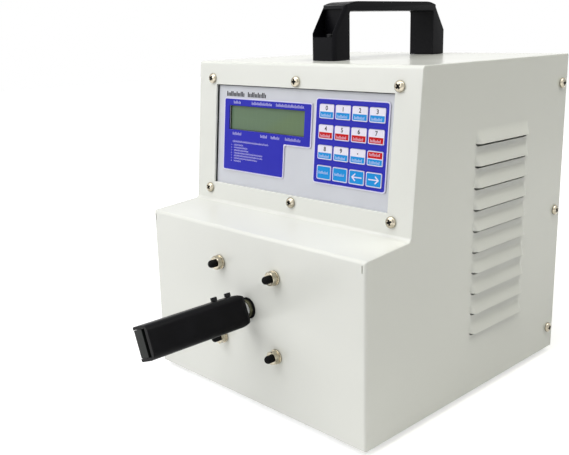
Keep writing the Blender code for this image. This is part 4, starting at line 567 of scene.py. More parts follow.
def round_edges(bm, radius, segments, wanted):
    """Rounds the edges for which wanted is true of the two ends."""
    edges = [edge for edge in bm.edges if wanted(*(vert.co for vert in edge.verts))]
    bmesh.ops.bevel(
        bm, geom=edges, offset=radius, segments=segments, profile=0.5, affect="EDGES"
    )


def near(first, second):
    """True where two lengths are the same."""
    return abs(first - second) < 0.01 * MM


# Pieces


def attach(piece, place, body, node):
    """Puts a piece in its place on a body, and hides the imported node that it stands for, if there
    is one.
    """
    piece.matrix_world = place
    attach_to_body(piece, body)
    if node:
        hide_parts(node)


def dress(bm, name, finish, place=MACHINE, node=None, body="machine", edge=0.0):
    """A finished piece. finish is one name or several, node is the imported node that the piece
    stands for and edge is how many millimetres its sharp edges are broken by."""
    place_shape(to_mesh(outward(bm), name), name, finish, place, node, body, edge)


def place_shape(shape, name, finish, place, node=None, body="machine", edge=0.0):
    """A piece with this mesh, which several pieces may share."""
    finishes = [finish] if isinstance(finish, str) else finish
    for face in shape.polygons:
        face.use_smooth = True
    shape.set_sharp_from_angle(angle=math.radians(30.0))
    if not shape.materials:
        for each in finishes:
            shape.materials.append(surface(each))
    piece = add_object(name, shape)
    attach(piece, place, body, node)
    if edge:
        bevel = piece.modifiers.new("edge", "BEVEL")
        bevel.width = edge * MM
        bevel.segments = 2
        bevel.limit_method = "ANGLE"
        bevel.angle_limit = math.radians(30.0)
        bevel.harden_normals = True
        bevel.use_clamp_overlap = True
    else:
        even = piece.modifiers.new("even", "WEIGHTED_NORMAL")
        even.keep_sharp = True


def clothe(node, finish):
    """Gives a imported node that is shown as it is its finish."""
    shown = frame["nodes"][node]
    shown.data.materials.clear()
    shown.data.materials.append(surface(finish))


# Finishes


def connect(tree, node, links):
    """Links a node's sockets, each to a socket or to the first output of another node."""
    for name, source in links.items():
        if isinstance(source, bpy.types.Node):
            source = source.outputs[0]
        tree.links.new(source, node.inputs[name])


def add_node(tree, kind, values=None, links=None, stops=None, **changes):
    """Adds a shader node with its settings, its socket values, its ramp and its links."""
    made = tree.nodes.new("ShaderNode" + kind)
    for name, value in changes.items():
        setattr(made, name, value)
    for name, value in (values or {}).items():
        made.inputs[name].default_value = value
    connect(tree, made, links or {})
    if stops:
        ramp = made.color_ramp.elements
        while len(ramp) < len(stops):
            ramp.new(0.5)
        for element, (place, tint) in zip(ramp, stops):
            element.position = place
            element.color = (*tint, 1.0)
        made.color_ramp.interpolation = "EASE"
    return made


def span(low, high, to_low=0.0, to_high=1.0):
    """The socket values that map one range to another."""
    return {"From Min": low, "From Max": high, "To Min": to_low, "To Max": to_high}


def shade(tint, factor):
    """The colour made darker or lighter by a factor."""
    return tuple(min(1.0, channel * factor) for channel in tint)


def start_finish(name, roughness, **values):
    """A new material with its Principled shader and its object coordinates."""
    made = bpy.data.materials.new(name)
    made.use_nodes = True
    tree = made.node_tree
    shader = tree.nodes["Principled BSDF"]
    shader.inputs["Roughness"].default_value = roughness
    for socket, value in values.items():
        shader.inputs[socket.replace("_", " ")].default_value = value
    return made, tree, shader, add_node(tree, "TexCoord").outputs["Object"]


def finish_material(name, tint, roughness, grain, relief, spread, cloud, values):
    """A finish with slow colour variation, uneven gloss and a fine grain. grain and cloud
    are pattern sizes in millimetres, and relief is the grain's height in micrometres."""
    made, tree, shader, place = start_finish(name, roughness, **values)
    drift = add_node(
        tree, "TexNoise", {"Scale": 1 / (cloud * MM), "Detail": 4.0}, {"Vector": place}
    )
    stops = ((0.2, shade(tint, 1 - spread)), (0.8, shade(tint, 1 + spread / 2)))
    tints = add_node(tree, "ValToRGB", links={"Fac": drift}, stops=stops)
    gloss = add_node(
        tree, "MapRange", span(0.2, 0.8, roughness * 0.85, roughness * 1.15),
        {"Value": drift}, interpolation_type="SMOOTHSTEP",
    )
    fine = add_node(
        tree, "TexNoise", {"Scale": 1 / (grain * MM), "Detail": 2.0}, {"Vector": place}
    )
    bump = add_node(
        tree, "Bump", {"Strength": 1.0, "Distance": relief * MM / 1000.0}, {"Height": fine}
    )
    connect(tree, shader, {"Base Color": tints, "Roughness": gloss, "Normal": bump})
    return made


NYLON = (0.4, 0.8, 14.0, 0.12, 25.0, {"IOR": 1.53, "Specular_IOR_Level": 0.08})

# The plainer finishes, as the arguments of finish_material apart from the tint. Each comment
# names the real finish and says what it gives the eye.
PLAIN_FINISHES = {
    # Baked powder coat on steel: an orange peel of about 2 mm, drawn at 2.4 mm so that it
    # shows, softens what the gloss reflects.
    "paint": ("white_powder_coat", 0.23, 2.4, 7.0, 0.015, 120.0, {"IOR": 1.5}),
    # Blue-passivated zinc on folded sheet: a cool grey metal with a clouded gloss and
    # rolling lines of about 0.5 mm.
    "zinc": ("zinc_plated_sheet", 0.36, 0.5, 4.0, 0.18, 14.0, {"Metallic": 1.0}),
    # Bright nickel on turned and cold-headed steel: a warm mirror-like metal, slightly
    # uneven where the plating pooled, its darker clouds also painted reflections of dark
    # surroundings.
    "nickel": ("nickel_plated_steel", 0.2, 0.6, 5.0, 0.4, 3.0, {"Metallic": 1.0}),
    # Nickel on the turned collar, dulled by handling and oil: an olive grey metal with its
    # turning lines about 0.4 mm apart.
    "collar": ("dulled_collar_nickel", 0.38, 0.4, 5.0, 0.4, 4.0, {"Metallic": 1.0}),
    # Painted shade in a plated screw's cross recess: a dull dark brown, uneven where some
    # plating shows through.
    "recess": ("oily_screw_recess", 0.55, 0.3, 6.0, 0.4, 1.5, {"Metallic": 0.5}),
    # Ground bright steel: neutral grey with fine round scratches from the wheel, 0.3 mm
    # apart in the picture because the real ones are too fine to show.
    "steel": ("ground_bright_steel", 0.22, 0.3, 3.0, 0.1, 8.0, {"Metallic": 1.0}),
    # Black oxide on socket screws: a dark satin metal that browns slightly in patches.
    "oxide": ("black_oxide_steel", 0.42, 0.4, 4.0, 0.3, 6.0, {"Metallic": 0.6}),
    # Glass-filled nylon from a spark-eroded mould, black or red: a leathery grain of about
    # 0.8 mm that breaks up the gloss.
    "nylon": ("black_moulded_nylon", *NYLON),
    "rocker": ("red_moulded_nylon", *NYLON),
    # Moulded rubber: a dull black with a faint grey bloom and almost no highlight.
    "rubber": (
        "moulded_black_rubber", 0.72, 0.7, 12.0, 0.3, 5.0,
        {"IOR": 1.52, "Specular_IOR_Level": 0.08},
    ),
    # Sprayed enamel on laminated steel: satin black with the 0.5 mm laminations drawn at
    # 1 mm so that they show.
    "enamel": ("sprayed_motor_enamel", 0.45, 1.0, 10.0, 0.15, 20.0, {"IOR": 1.5}),
    # Screen-printed polyester film in each of its inks: even ink under a velvet surface of
    # about 0.5 mm, which gives a soft satin gloss.
    "film": ("printed_{}", 0.34, 0.5, 3.0, 0.03, 30.0, {"IOR": 1.57, "Specular_IOR_Level": 0.12}),
}


def anodised_black(tint):
    """Black anodised aluminium, drawn lengthways: nearly black with a grey sheen along the
    edges, and drawing lines about 0.6 mm apart that run along the head."""
    made, tree, shader, place = start_finish(
        "black_anodised_aluminium", 0.36, IOR=1.5, Specular_IOR_Level=0.09
    )
    stretch = add_node(tree, "Mapping", {"Scale": (1.0, 0.04, 1.0)}, {"Vector": place})
    lines = add_node(
        tree, "TexNoise", {"Scale": 1 / (0.6 * MM), "Detail": 3.0}, {"Vector": stretch}
    )
    drift = add_node(tree, "TexNoise", {"Scale": 1 / (18 * MM), "Detail": 3.0}, {"Vector": place})
    stops = ((0.3, shade(tint, 0.8)), (0.75, shade(tint, 1.5)))
    tints = add_node(tree, "ValToRGB", links={"Fac": drift}, stops=stops)
    gloss = add_node(tree, "MapRange", span(0.25, 0.75, 0.32, 0.46), {"Value": lines})
    bump = add_node(tree, "Bump", {"Strength": 1.0, "Distance": 0.006 * MM}, {"Height": lines})
    connect(tree, shader, {"Base Color": tints, "Roughness": gloss, "Normal": bump})
    return made


def jaw_steel(tint):
    """Hardened tool steel of the jaw: grey with a greenish temper colour, lightly oiled, and
    scratched by wires along its length."""
    made, tree, shader, place = start_finish("hardened_jaw_steel", 0.45, Metallic=0.8)
    stretch = add_node(tree, "Mapping", {"Scale": (1.0, 0.1, 1.0)}, {"Vector": place})
    scratches = add_node(
        tree, "TexNoise", {"Scale": 1 / (0.8 * MM), "Detail": 4.0}, {"Vector": stretch}
    )
    stops = ((0.3, shade(tint, 0.6)), (0.7, shade(tint, 1.25)))
    tints = add_node(tree, "ValToRGB", links={"Fac": scratches}, stops=stops)
    bump = add_node(
        tree, "Bump", {"Strength": 1.0, "Distance": 0.01 * MM}, {"Height": scratches}
    )
    connect(tree, shader, {"Base Color": tints, "Normal": bump})
    return made


def display_glass(tint):
    """Unlit character display behind polished glass: an even grey green, a little yellower
    at its lower right, with faint blocks of two lines of sixteen characters."""
    sizes, edge_tint = settings("controls"), settings("colours").display_edge
    made, tree, shader, place = start_finish(
        "display_glass", 0.08, IOR=1.52, Specular_IOR_Level=0.3
    )
    axes = add_node(tree, "SeparateXYZ", links={"Vector": place})
    left, low = sizes.display_left, sizes.display_low
    across = add_node(tree, "MapRange", span(-left, sizes.display_width - left), {"Value": axes})
    down = add_node(
        tree, "MapRange", span(low + sizes.display_height, low, 0.0, 0.45),
        {"Value": axes.outputs["Y"]},
    )
    slant = add_node(tree, "Math", links={0: across, 1: down}, operation="ADD")
    stops = ((0.0, tint), (0.75, tint), (1.0, edge_tint))
    ground = add_node(tree, "ValToRGB", links={"Fac": slant}, stops=stops)
    shift = add_node(
        tree, "Mapping", {"Location": (left, -low - 2.5 * MM, 0.0)}, {"Vector": place}
    )
    cell = {"Brick Width": sizes.display_width / 17, "Row Height": 8.6 * MM}
    cells = add_node(
        tree, "TexBrick",
        {"Scale": 1.0, "Mortar Size": 0.5 * MM, "Mortar Smooth": 0.2, **cell},
        {"Vector": shift}, offset=0.0, squash=1.0,
    )
    faint = add_node(
        tree, "MapRange", span(0.0, 1.0, 0.975, 1.0), {"Value": cells.outputs["Fac"]}
    )
    dim = add_node(
        tree, "Mix", {0: 1.0}, {6: ground, 7: faint}, data_type="RGBA", blend_type="MULTIPLY"
    )
    connect(tree, shader, {"Base Color": dim.outputs[2]})
    return made


def circuit_board(tint):
    """Solder mask on glass-fibre board: glossy green with copper tracks 2 mm apart that
    show as a lighter grid."""
    made, tree, shader, place = start_finish("green_circuit_board", 0.3, IOR=1.5)
    sizes = {"Mortar Size": 0.35 * MM, "Brick Width": 9.0 * MM, "Row Height": 2.0 * MM}
    shades = {"Color1": 0.8, "Color2": 0.9, "Mortar": 1.5}
    tints = {name: (*shade(tint, factor), 1.0) for name, factor in shades.items()}
    tracks = add_node(tree, "TexBrick", {"Scale": 1.0, **sizes, **tints}, {"Vector": place})
    bump = add_node(
        tree, "Bump", {"Strength": 0.5, "Distance": 0.03 * MM}, {"Height": tracks.outputs["Fac"]}
    )
    connect(tree, shader, {"Base Color": tracks, "Normal": bump})
    return made


OWN_FINISHES = {
    "anodised": anodised_black,
    "jaw": jaw_steel,
    "display": display_glass,
    "board": circuit_board,
}
FINISHES = {}


def surface(name):
    """One of the machine's finishes, which is made the first time that it is asked for."""
    if name not in FINISHES:
        tint = getattr(settings("colours"), name)
        if name in OWN_FINISHES:
            FINISHES[name] = OWN_FINISHES[name](tint)
        else:
            real, *values = PLAIN_FINISHES["film" if name.startswith("film_") else name]
            FINISHES[name] = finish_material(real.format(name), tint, *values)
    return FINISHES[name]


# Casing


def casing_skin():
    """The outer skin, folded with wide bends at the front and ground seams at the sides."""
    case = settings("casing")
    bends = (
        (0.0, case.front_height),
        (case.ledge_depth, case.front_height + case.ledge_rise),
        (case.ledge_depth + case.face_lean, case.height),
    )
    outline = ((0.0, 0.0), *bends, (case.depth, case.height), (case.depth, 0.0))
    bm = solid(slab, outline, -case.width / 2, case.width / 2, ALONG_X)
    weight = bm.edges.layers.float.new("bevel_weight_edge")
    for edge in bm.edges:
        first, second = (vert.co for vert in edge.verts)
        across = near(first.y, second.y) and near(first.z, second.z)
        wide_bend = across and any(near(first.y, y) and near(first.z, z) for y, z in bends)
        upright = not across and near(first.y, 0.0) and near(second.y, 0.0)
        if near(first.y, case.depth) and near(second.y, case.depth):
            edge[weight] = 0.0
        elif wide_bend or upright:
            edge[weight] = 1.0
        else:
            edge[weight] = case.weld / case.bend
    bm = modified(outward(bm), "BEVEL", limit_method="WEIGHT", width=case.bend, segments=6)
    rear = [face for face in bm.faces if all(near(vert.co.y, case.depth) for vert in face.verts)]
    bmesh.ops.delete(bm, geom=rear, context="FACES")
    return modified(
        outward(bm), "SOLIDIFY", thickness=case.sheet, offset=-1.0, use_even_offset=True
    )


def louvre_block():
    """The two corners, as (depth, height), of the rectangle that holds all the louvres."""
    case = settings("casing")
    side_margin, margin = mm(4, 3)
    half = case.louvre_length / 2 + side_margin
    rows = (case.louvre_count - 1) * case.louvre_pitch
    high = case.louvre_low + rows + case.louvre_height + margin
    low = case.louvre_low - margin
    return (case.louvre_middle - half, low), (case.louvre_middle + half, high)


def hood_reach(along, up):
    """How far a hood stands out, as a share: full at its slot, sloping to nothing at its top
    and at both ends."""
    case = settings("casing")
    end = (case.louvre_length / 2 - abs(along)) / case.louvre_end
    end = min(1.0, max(0.0, end))
    return (1 - up) ** 2 * (1 + 1.1 * up) * (1 - (1 - end) ** 3.5)


def louvre_bank(side):
    """The pressed part of one side: a single sheet slit at each louvre, the upper lip of
    each slit drawn out into a hood."""
    case = settings("casing")
    (near_y, low_z), (far_y, high_z) = louvre_block()
    half, end_steps, hood_steps, edge = case.louvre_length / 2, 8, 12, -1.0
    run = [case.louvre_end * step / end_steps for step in range(end_steps + 1)]
    columns = [near_y - case.louvre_middle]
    columns += [-half + place for place in run] + [half - place for place in reversed(run)]
    columns.append(far_y - case.louvre_middle)
    rows = [(low_z, None)]
    for louvre in range(case.louvre_count):
        slot = case.louvre_low + louvre * case.louvre_pitch
        rows.append((slot, edge))
        for step in range(hood_steps + 1):
            rows.append((slot + case.louvre_height * step / hood_steps, step / hood_steps))
    rows.append((high_z, None))
    bm = bmesh.new()
    grid = []
    for height, up in rows:
        line = []
        for along in columns:
            share = 0.0 if up is None else hood_reach(along, max(up, 0.0))
            drop = share * case.louvre_gap if up == edge else 0.0
            proud = 0.0 if up == edge else share * case.louvre_proud
            place = (side * (case.width / 2 + proud), case.louvre_middle + along, height - drop)
            line.append(bm.verts.new(place))
        grid.append(line)
    for (_, below), (_, above), lower, upper in zip(rows, rows[1:], grid, grid[1:]):
        if below == edge and above == 0.0:
            continue
        for a, b, c, d in zip(lower, lower[1:], upper[1:], upper):
            bm.faces.new((a, b, c, d) if side > 0 else (d, c, b, a))
    bmesh.ops.remove_doubles(bm, verts=bm.verts, dist=0.001 * MM)
    bm.normal_update()
    return modified(bm, "SOLIDIFY", thickness=case.sheet, offset=-1.0, use_even_offset=False)


def stud_places():
    """Where the four motor studs cross the front wall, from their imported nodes."""
    places = []
    for index in range(1, 5):
        low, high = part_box(f"stud_cap_{index}")
        middle = MACHINE.inverted() @ ((low + high) / 2)
        places.append((middle.x, middle.z))
    return places


def face_screw_places():
    """Where the six screws of the control face stand, up and across it."""
    sizes = settings("controls")
    beside, under, over = mm(5, 6.3, 5.5)
    side = sizes.window_width / 2 + beside
    low = sizes.window_rise - sizes.window_height / 2 - under
    high = sizes.window_rise + sizes.window_height / 2 + over
    return [(x, y) for y in (low, high) for x in (-side, 0.0, side)]


def side_screw_places():
    """Where the three screws of each side stand, as (side, depth, height)."""
    depth = settings("casing").depth - SIDE_SCREW_INSET
    lowest, step = 22.5, 121.0
    heights = [(lowest + step * row) * MM for row in range(3)]
    return [(side, depth, height) for side in (-1.0, 1.0) for height in heights]


def casing_holes(local_face):
    """The bodies that cut the window, the holes and the places of the louvre banks."""
    case, panel = settings("casing"), settings("controls")
    flange, lip, shaft_hole, stud_room, slit_height = mm(34, 14, 9.6, 0.4, 6)
    across, up = panel.window_width / 2, panel.window_height / 2
    low = (-across, panel.window_rise - up, -panel.window_depth - PAST)
    holes = solid(box, low, (across, panel.window_rise + up, PAST), local_face)
    wall, inside = case.sheet + PAST, case.width / 2 - flange
    box(holes, (-inside, lip, -PAST), (inside, case.depth + PAST, wall))
    for x, z in stud_places():
        rod(holes, settings("hardware").stud_radius + stud_room, (x, -PAST, z), (x, wall, z))
    rod(holes, shaft_hole, (0, -PAST, SPINDLE_RISE), (0, wall, SPINDLE_RISE), FINE)
    for x, y in face_screw_places():
        rod(holes, SCREW_HOLE, *(local_face @ Vector((x, y, z)) for z in (-wall, PAST)))
    (near_y, low_z), (far_y, high_z) = louvre_block()
    ends = case.width / 2 - wall, case.width / 2 + PAST
    top = case.front_height - case.bend - SEAT
    for side in (-1.0, 1.0):
        box(holes, (side * ends[0], near_y, low_z), (side * ends[1], far_y, high_z))
        slit = side * (case.width / 2 - case.bend - SEAT)
        box(holes, (slit, -PAST, top - slit_height), (slit - side * MM, wall, top))
    for side, y, z in side_screw_places():
        rod(holes, SCREW_HOLE, (side * ends[0], y, z), (side * ends[1], y, z))
    return holes


def build_casing():
    """The casing: folded skin, window with its turned-in edge, holes and louvre banks."""
    panel, wall = settings("controls"), settings("casing").sheet
    local_face = MACHINE.inverted() @ face_matrix()
    across, up, middle = panel.window_width / 2, panel.window_height / 2, panel.window_rise
    low = (-across - wall, middle - up - wall, -panel.window_depth)
    turned_in = solid(box, low, (across + wall, middle + up + wall, -wall / 2), local_face)
    bm = combine(casing_skin(), turned_in, "UNION")
    bm = combine(bm, casing_holes(local_face))
    to_face = local_face.inverted()

    def is_window_rim(first, second):
        first, second = to_face @ first, to_face @ second
        if not (near(first.z, 0.0) and near(second.z, 0.0)):
            return False
        upright = near(abs(first.x), across) and near(abs(second.x), across)
        level = near(abs(first.y - middle), up) and near(abs(second.y - middle), up)
        return upright or level

    round_edges(bm, 0.6 * MM, 3, is_window_rim)
    for side in (-1.0, 1.0):
        add_mesh(bm, louvre_bank(side))
    dress(bm, "casing", "paint", node="casing_shell")


def build_rear_panel():
    """The rear panel with a bent flange at each side and its openings."""
    case = settings("casing")
    half, rear = case.width / 2 - case.sheet - SEAT, case.depth
    radius, sheet, front = case.bend, case.sheet, rear - 20 * MM
    inner = radius - sheet
    outline = []
    for sine, cosine in quarter(6):
        outline.append((-half + radius * (1 - sine), rear - radius * (1 - cosine)))
    outline += [(-half, front), (-half + sheet, front)]
    for sine, cosine in reversed(quarter(6)):
        outline.append((-half + radius - inner * sine, rear - radius + inner * cosine))
    outline += [(-x, y) for x, y in reversed(outline)]
    bm = solid(slab, outline, sheet + SEAT, case.height - sheet - SEAT)
    holes = bmesh.new()
    inlet, switch = (70, 62, 28.6, 21.6), (70, 108, 19.2, 27.6)
    for x, z, width, height in (inlet, switch):
        low = ((x - width / 2) * MM, rear - sheet - PAST, (z - height / 2) * MM)
        box(holes, low, ((x + width / 2) * MM, rear + PAST, (z + height / 2) * MM))
    fuse, pedal = (20, 62, 6.3), (-30, 62, 7.8)
    for x, z, size in mm(fuse, pedal):
        rod(holes, size, (x, rear - sheet - PAST, z), (x, rear + PAST, z), FINE)
    dress(combine(bm, holes), "rear_cover", "paint", node="rear_panel")


# Screws, nuts, caps and feet


def cross_recess(across, up, low, high, shrink=(1.0, 1.0)):
    """The bodies that cut a cross recess, with its floor smaller than its mouth by shares."""
    cross = bmesh.new()
    for degrees in (0.0, 90.0):
        bar = solid(box, (-across, -up, low), (across, up, high))
        for vert in bar.verts:
            if near(vert.co.z, low):
                vert.co.x *= shrink[0]
                vert.co.y *= shrink[1]
        bmesh.ops.rotate(bar, matrix=turn(degrees).to_3x3(), verts=bar.verts)
        add_mesh(cross, bar)
    return cross


def pan_head():
    """The mesh of a pan-head screw with a tapered cross recess, its seat at height 0. The
    recess has the second finish, which paints shade into it."""
    sizes = settings("hardware")
    radius, top = sizes.screw_head, sizes.screw_proud
    shank, edge = 2.5 * MM, 0.2 * MM
    profile = [(0.0, -6 * MM), (shank, -6 * MM), (shank, 0.0), (radius - edge, 0.0), (radius, edge)]
    for sine, cosine in quarter(8):
        profile.append((radius * (0.28 + 0.72 * cosine), top * (0.3 + 0.7 * sine)))
    profile[-1] = (0.0, top)
    long, wide = sizes.recess_length / 2, sizes.recess_width / 2
    deep = top - sizes.recess_depth
    cross = cross_recess(long, wide, deep, top + MM, (0.5, 0.6))
    bm = outward(combine(solid(turned, profile), cross))
    for face in bm.faces:
        middle = face.calc_center_median()
        inward = abs(face.normal.z) < 0.6 or near(middle.z, deep)
        if middle.z > SEAT and middle.xy.length < long + SEAT and inward:
            face.material_index = 1
    return to_mesh(bm, "pan_head")


def build_screws():
    """The six screws of the control face and the six of the sides, each driven home at its
    own angle."""
    half, face, shape = settings("casing").width / 2, face_matrix(), pan_head()
    places = [("face_screw", face @ at(x, y, SEAT)) for x, y in face_screw_places()]
    for side, y, z in side_screw_places():
        seat = at(side * (half + SEAT), y, z) @ towards(side, 0.0, 0.0)
        places.append(("side_screw", MACHINE @ seat))
    for index, (name, place) in enumerate(places, 1):
        place = place @ turn(37.0 * index % 90.0)
        # The second finish paints shade into each screw's cross recess.
        place_shape(shape, f"{name}_{index}", ("nickel", "recess"), place)


def hex_nut(radius, low, high):
    """The bodies of a hexagon nut whose corners are chamfered at both ends."""
    flat, reach = radius * math.cos(math.radians(30.0)), radius * 1.02
    drop = (radius - flat) * 0.7
    cone = ((0.0, low), (flat, low), (reach, low + drop), (reach, high - drop), (flat, high))
    prism = solid(rod, radius, (0, 0, low), (0, 0, high), HEX)
    return combine(prism, solid(turned, (*cone, (0.0, high))), "INTERSECT")


def socket_screw(profile, size, deep):
    """The bodies of a turned screw with a hexagon socket in its top."""
    top = profile[-1][1]
    socket = solid(rod, size, (0, 0, top - deep), (0, 0, top + MM), HEX)
    return combine(solid(turned, profile), socket)


def build_studs():
    """The four motor studs: washer, chamfered nut and rubber cap."""
    sizes = settings("hardware")
    stud, radius, soft, tail = sizes.stud_radius, sizes.cap_radius, sizes.cap_round, -14 * MM
    washer_top = SEAT + sizes.washer
    nut_top = washer_top + sizes.nut_height
    end = nut_top + sizes.stud_end
    bore, low, high = stud + SEAT, nut_top + SEAT, end + SEAT + sizes.cap_end
    cap = [(0.0, end + SEAT), (bore, end + SEAT), (bore, low), (radius, low)]
    for sine, cosine in quarter(8):
        cap.append((radius - soft * (1 - cosine), high - soft * (1 - sine)))
    cap.append((0.0, high))
    for index, (x, z) in enumerate(stud_places(), 1):
        place = MACHINE @ at(x, 0.0, z) @ towards(0.0, -1.0, 0.0) @ turn(17.0 * index)
        bm = hex_nut(sizes.nut_radius, washer_top, nut_top)
        ring(bm, stud, sizes.washer_radius, SEAT, washer_top, 0.3 * MM)
        turned(bm, ((0.0, tail), (stud, tail), (stud, end), (0.0, end)))
        dress(bm, f"motor_nut_{index}", "nickel", place, f"motor_stud_{index}", edge=0.15)
        dress(solid(turned, cap), f"rubber_cap_{index}", "rubber", place, f"stud_cap_{index}")


def build_feet():
    """Four moulded rubber feet, each with a ring groove and a dished sole."""
    sizes = settings("hardware")
    radius, tall = sizes.foot_radius, sizes.foot_height
    sole = mm((0, 0.9), (3.2, 0.9), (3.8, 0))
    groove = [(radius - in_by, z) for in_by, z in mm((0, 0), (0.5, 2.2), (1, 2.5), (0.7, 2.9))]
    profile = (*sole, *groove, (radius - 1.4 * MM, tall), (2 * MM, tall), *mm((2, 10), (0, 10)))
    for name in ("front_left", "front_right", "rear_left", "rear_right"):
        node = f"foot_{name}"
        foot = solid(turned, soft_profile(profile, 0.5 * MM))
        dress(foot, f"rubber_{node}", "rubber", standing(node), node)


# Handle


def build_handle():
    """The moulded bridge handle with a pocket in each leg and its two socket screws."""
    sizes = settings("handle")
    half, wide = sizes.length / 2, sizes.width / 2
    inside, under, corner = half - sizes.leg, sizes.height - sizes.bar, 2.5 * MM
    outer = [(half, 0.0), (half, sizes.straight)]
    for step, (sine, _) in enumerate(quarter(8)):
        place = half - sizes.lean - sizes.crown * step / 8
        outer.append((place, sizes.height - sizes.crown_rise * (1 - sine)))
    grip = [(-inside, 0.0)]
    for sine, cosine in quarter(4):
        grip.append((-inside + corner * (1 - cosine), under - corner * (1 - sine)))
    for side in (outer, grip):
        side += [(-y, z) for y, z in reversed(side)]
    bm = solid(slab, outer + grip, -wide, wide, ALONG_X)

    def is_long_edge(first, second):
        if not (near(first.x, second.x) and near(abs(first.x), wide)):
            return False
        middle = (first + second) / 2
        if near(middle.z, 0.0):
            return False
        beyond = max(abs(first.y), abs(second.y)) > inside + corner
        return beyond or middle.z > under + corner

    round_edges(bm, sizes.edge, 6, is_long_edge)
    pockets = bmesh.new()
    cheek, web = wide - sizes.cheek, 3.5 * MM
    outline = rounded((-cheek, sizes.pocket_low), (cheek, sizes.pocket_high), 1.5 * MM, 4)
    slab(pockets, outline, -half - PAST, -inside - web, ALONG_Y)
    slab(pockets, outline, inside + web, half + PAST, ALONG_Y)
    node = "carry_handle"
    dress(combine(bm, pockets), "handle", "nylon", standing(node), node, edge=0.45)
    for name in ("handle_screw_front", "handle_screw_rear"):
        low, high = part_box(name)
        top = (high.z - low.z) / MM - 2.5
        head = mm((4.1, top - 5), (4.25, top - 4.8), (4.25, top - 0.4), (3.9, top), (0, top))
        profile = (*mm((0, 0), (2.5, 0), (2.5, top - 5)), *head)
        screw = socket_screw(profile, 2.3 * MM, 2.5 * MM)
        add_mesh(screw, hex_nut(*mm(4.6, 1.5, 6)))
        dress(screw, f"{name}_piece", "oxide", standing(name), name, edge=0.1)


# Control face


def panel_levels():
    """Heights off the control face: the overlay's surface and the fields' surface."""
    overlay = -settings("controls").window_depth - SEAT
    return overlay, overlay + SEAT + 0.9 * MM


def build_plate():
    """The zinc-plated plate behind the window, which carries the display and the film."""
    sizes = settings("controls")
    side_lap, lap, corner, gap, thick, frame_wall, hole = mm(14, 12.4, 1.5, 2.6, 2, 1.9, 2.7)
    wide, tall = sizes.window_width / 2 + side_lap, sizes.window_height / 2 + lap
    back = -sizes.window_depth - 2 * SEAT - gap
    outline = rounded((-wide, sizes.window_rise - tall), (wide, sizes.window_rise + tall), corner)
    left, low = -sizes.display_left - frame_wall, sizes.display_low - frame_wall
    right = sizes.display_width - sizes.display_left + frame_wall
    high = sizes.display_low + sizes.display_height + frame_wall
    ends = back - MM, back + thick + MM
    holes = solid(box, (left, low, ends[0]), (right, high, ends[1]))
    for x, y in face_screw_places():
        rod(holes, hole, (x, y, ends[0]), (x, y, ends[1]))
    plate = combine(solid(slab, outline, back, back + thick), holes)
    dress(plate, "backing_plate", "zinc", face_matrix(), "control_plate", edge=0.15)


def build_gasket():
    """The thin rubber gasket between the film and the window's turned-in edge, at its top and
    both sides: a dark strip that paints the shade inside the window's edge."""
    sizes, overlay = settings("controls"), panel_levels()[0]
    bodies = []
    for inset, past, low, high in mm((0.05, 0, 0.1, 1.4), (0.55, 2, -1, 3)):
        across, up = sizes.window_width / 2 - inset, sizes.window_height / 2 - inset
        foot = (-across, sizes.window_rise - up - past, overlay + low)
        bodies.append(solid(box, foot, (across, sizes.window_rise + up, overlay + high)))
    dress(combine(*bodies), "window_gasket", "rubber", face_matrix())


def build_field(name, outline, corner, windows, node):
    """One blue field of the film with its windows, and the pale line round it."""
    wider, face = settings("controls").outline, face_matrix()
    overlay, top = panel_levels()
    low = overlay + SEAT
    edge = softened(outline, corner)
    holes = bmesh.new()
    for window in windows:
        slab(holes, window, low - MM, top + MM)
    bm = combine(solid(slab, edge, low, top), holes)
    dress(bm, name, "film_blue", face, node, edge=0.05)
    line = solid(slab, softened(grown(outline, wider), corner + wider), low, top)
    line = combine(line, solid(slab, edge, low - MM, top + MM))
    dress(line, name + "_line", "film_line", face)


def build_fields():
    """The blue display field and the blue keypad field, each with its pale outline."""
    sizes = settings("controls")
    corner = (-sizes.display_left, sizes.display_low)
    far = (corner[0] + sizes.display_width, corner[1] + sizes.display_height)
    left, right, notch = -sizes.field_left, sizes.field_right, -sizes.notch_left
    outline = [
        (left, sizes.field_low), (notch, sizes.field_low), (notch, sizes.notch_high),
        (right, sizes.notch_high), (right, sizes.field_high), (left, sizes.field_high),
    ]
    windows = [rounded(corner, far, 0.5 * MM, 3)]
    build_field("display_field", outline, sizes.field_corner, windows, "display_surround")
    left, right = sizes.keypad_left, sizes.keypad_right
    low, high = sizes.keypad_low, sizes.keypad_high
    outline = [(left, low), (right, low), (right, high), (left, high)]
    across, up = sizes.key_width / 2 + SEAT, sizes.key_height / 2 + SEAT
    windows = []
    for x, y in map(key_place, sum(KEY_ROWS, ())):
        windows.append(rounded((x - across, y - up), (x + across, y + up), sizes.key_corner + SEAT))
    build_field("keypad_field", outline, sizes.keypad_corner, windows, "keypad_membrane")


def key_place(name):
    """A key's centre, across and up the control face."""
    low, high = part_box(name)
    return (face_matrix().inverted() @ ((low + high) / 2)).xy


def strokes(bm, level, left, low, run, tall, weight=0.34):
    """Adds a row of plain upright strokes where the film has a printed line. weight is the
    share of the row that they cover."""
    step = 0.42 * tall
    for index in range(round(run / step)):
        high = low + tall * (1.0 if (index * 5 + 1) % 7 < 3 else 0.7)
        x = left + index * step
        far = x + step * weight
        bm.faces.new(points_of(bm, ((x, low), (far, low), (far, high), (x, high)), level))


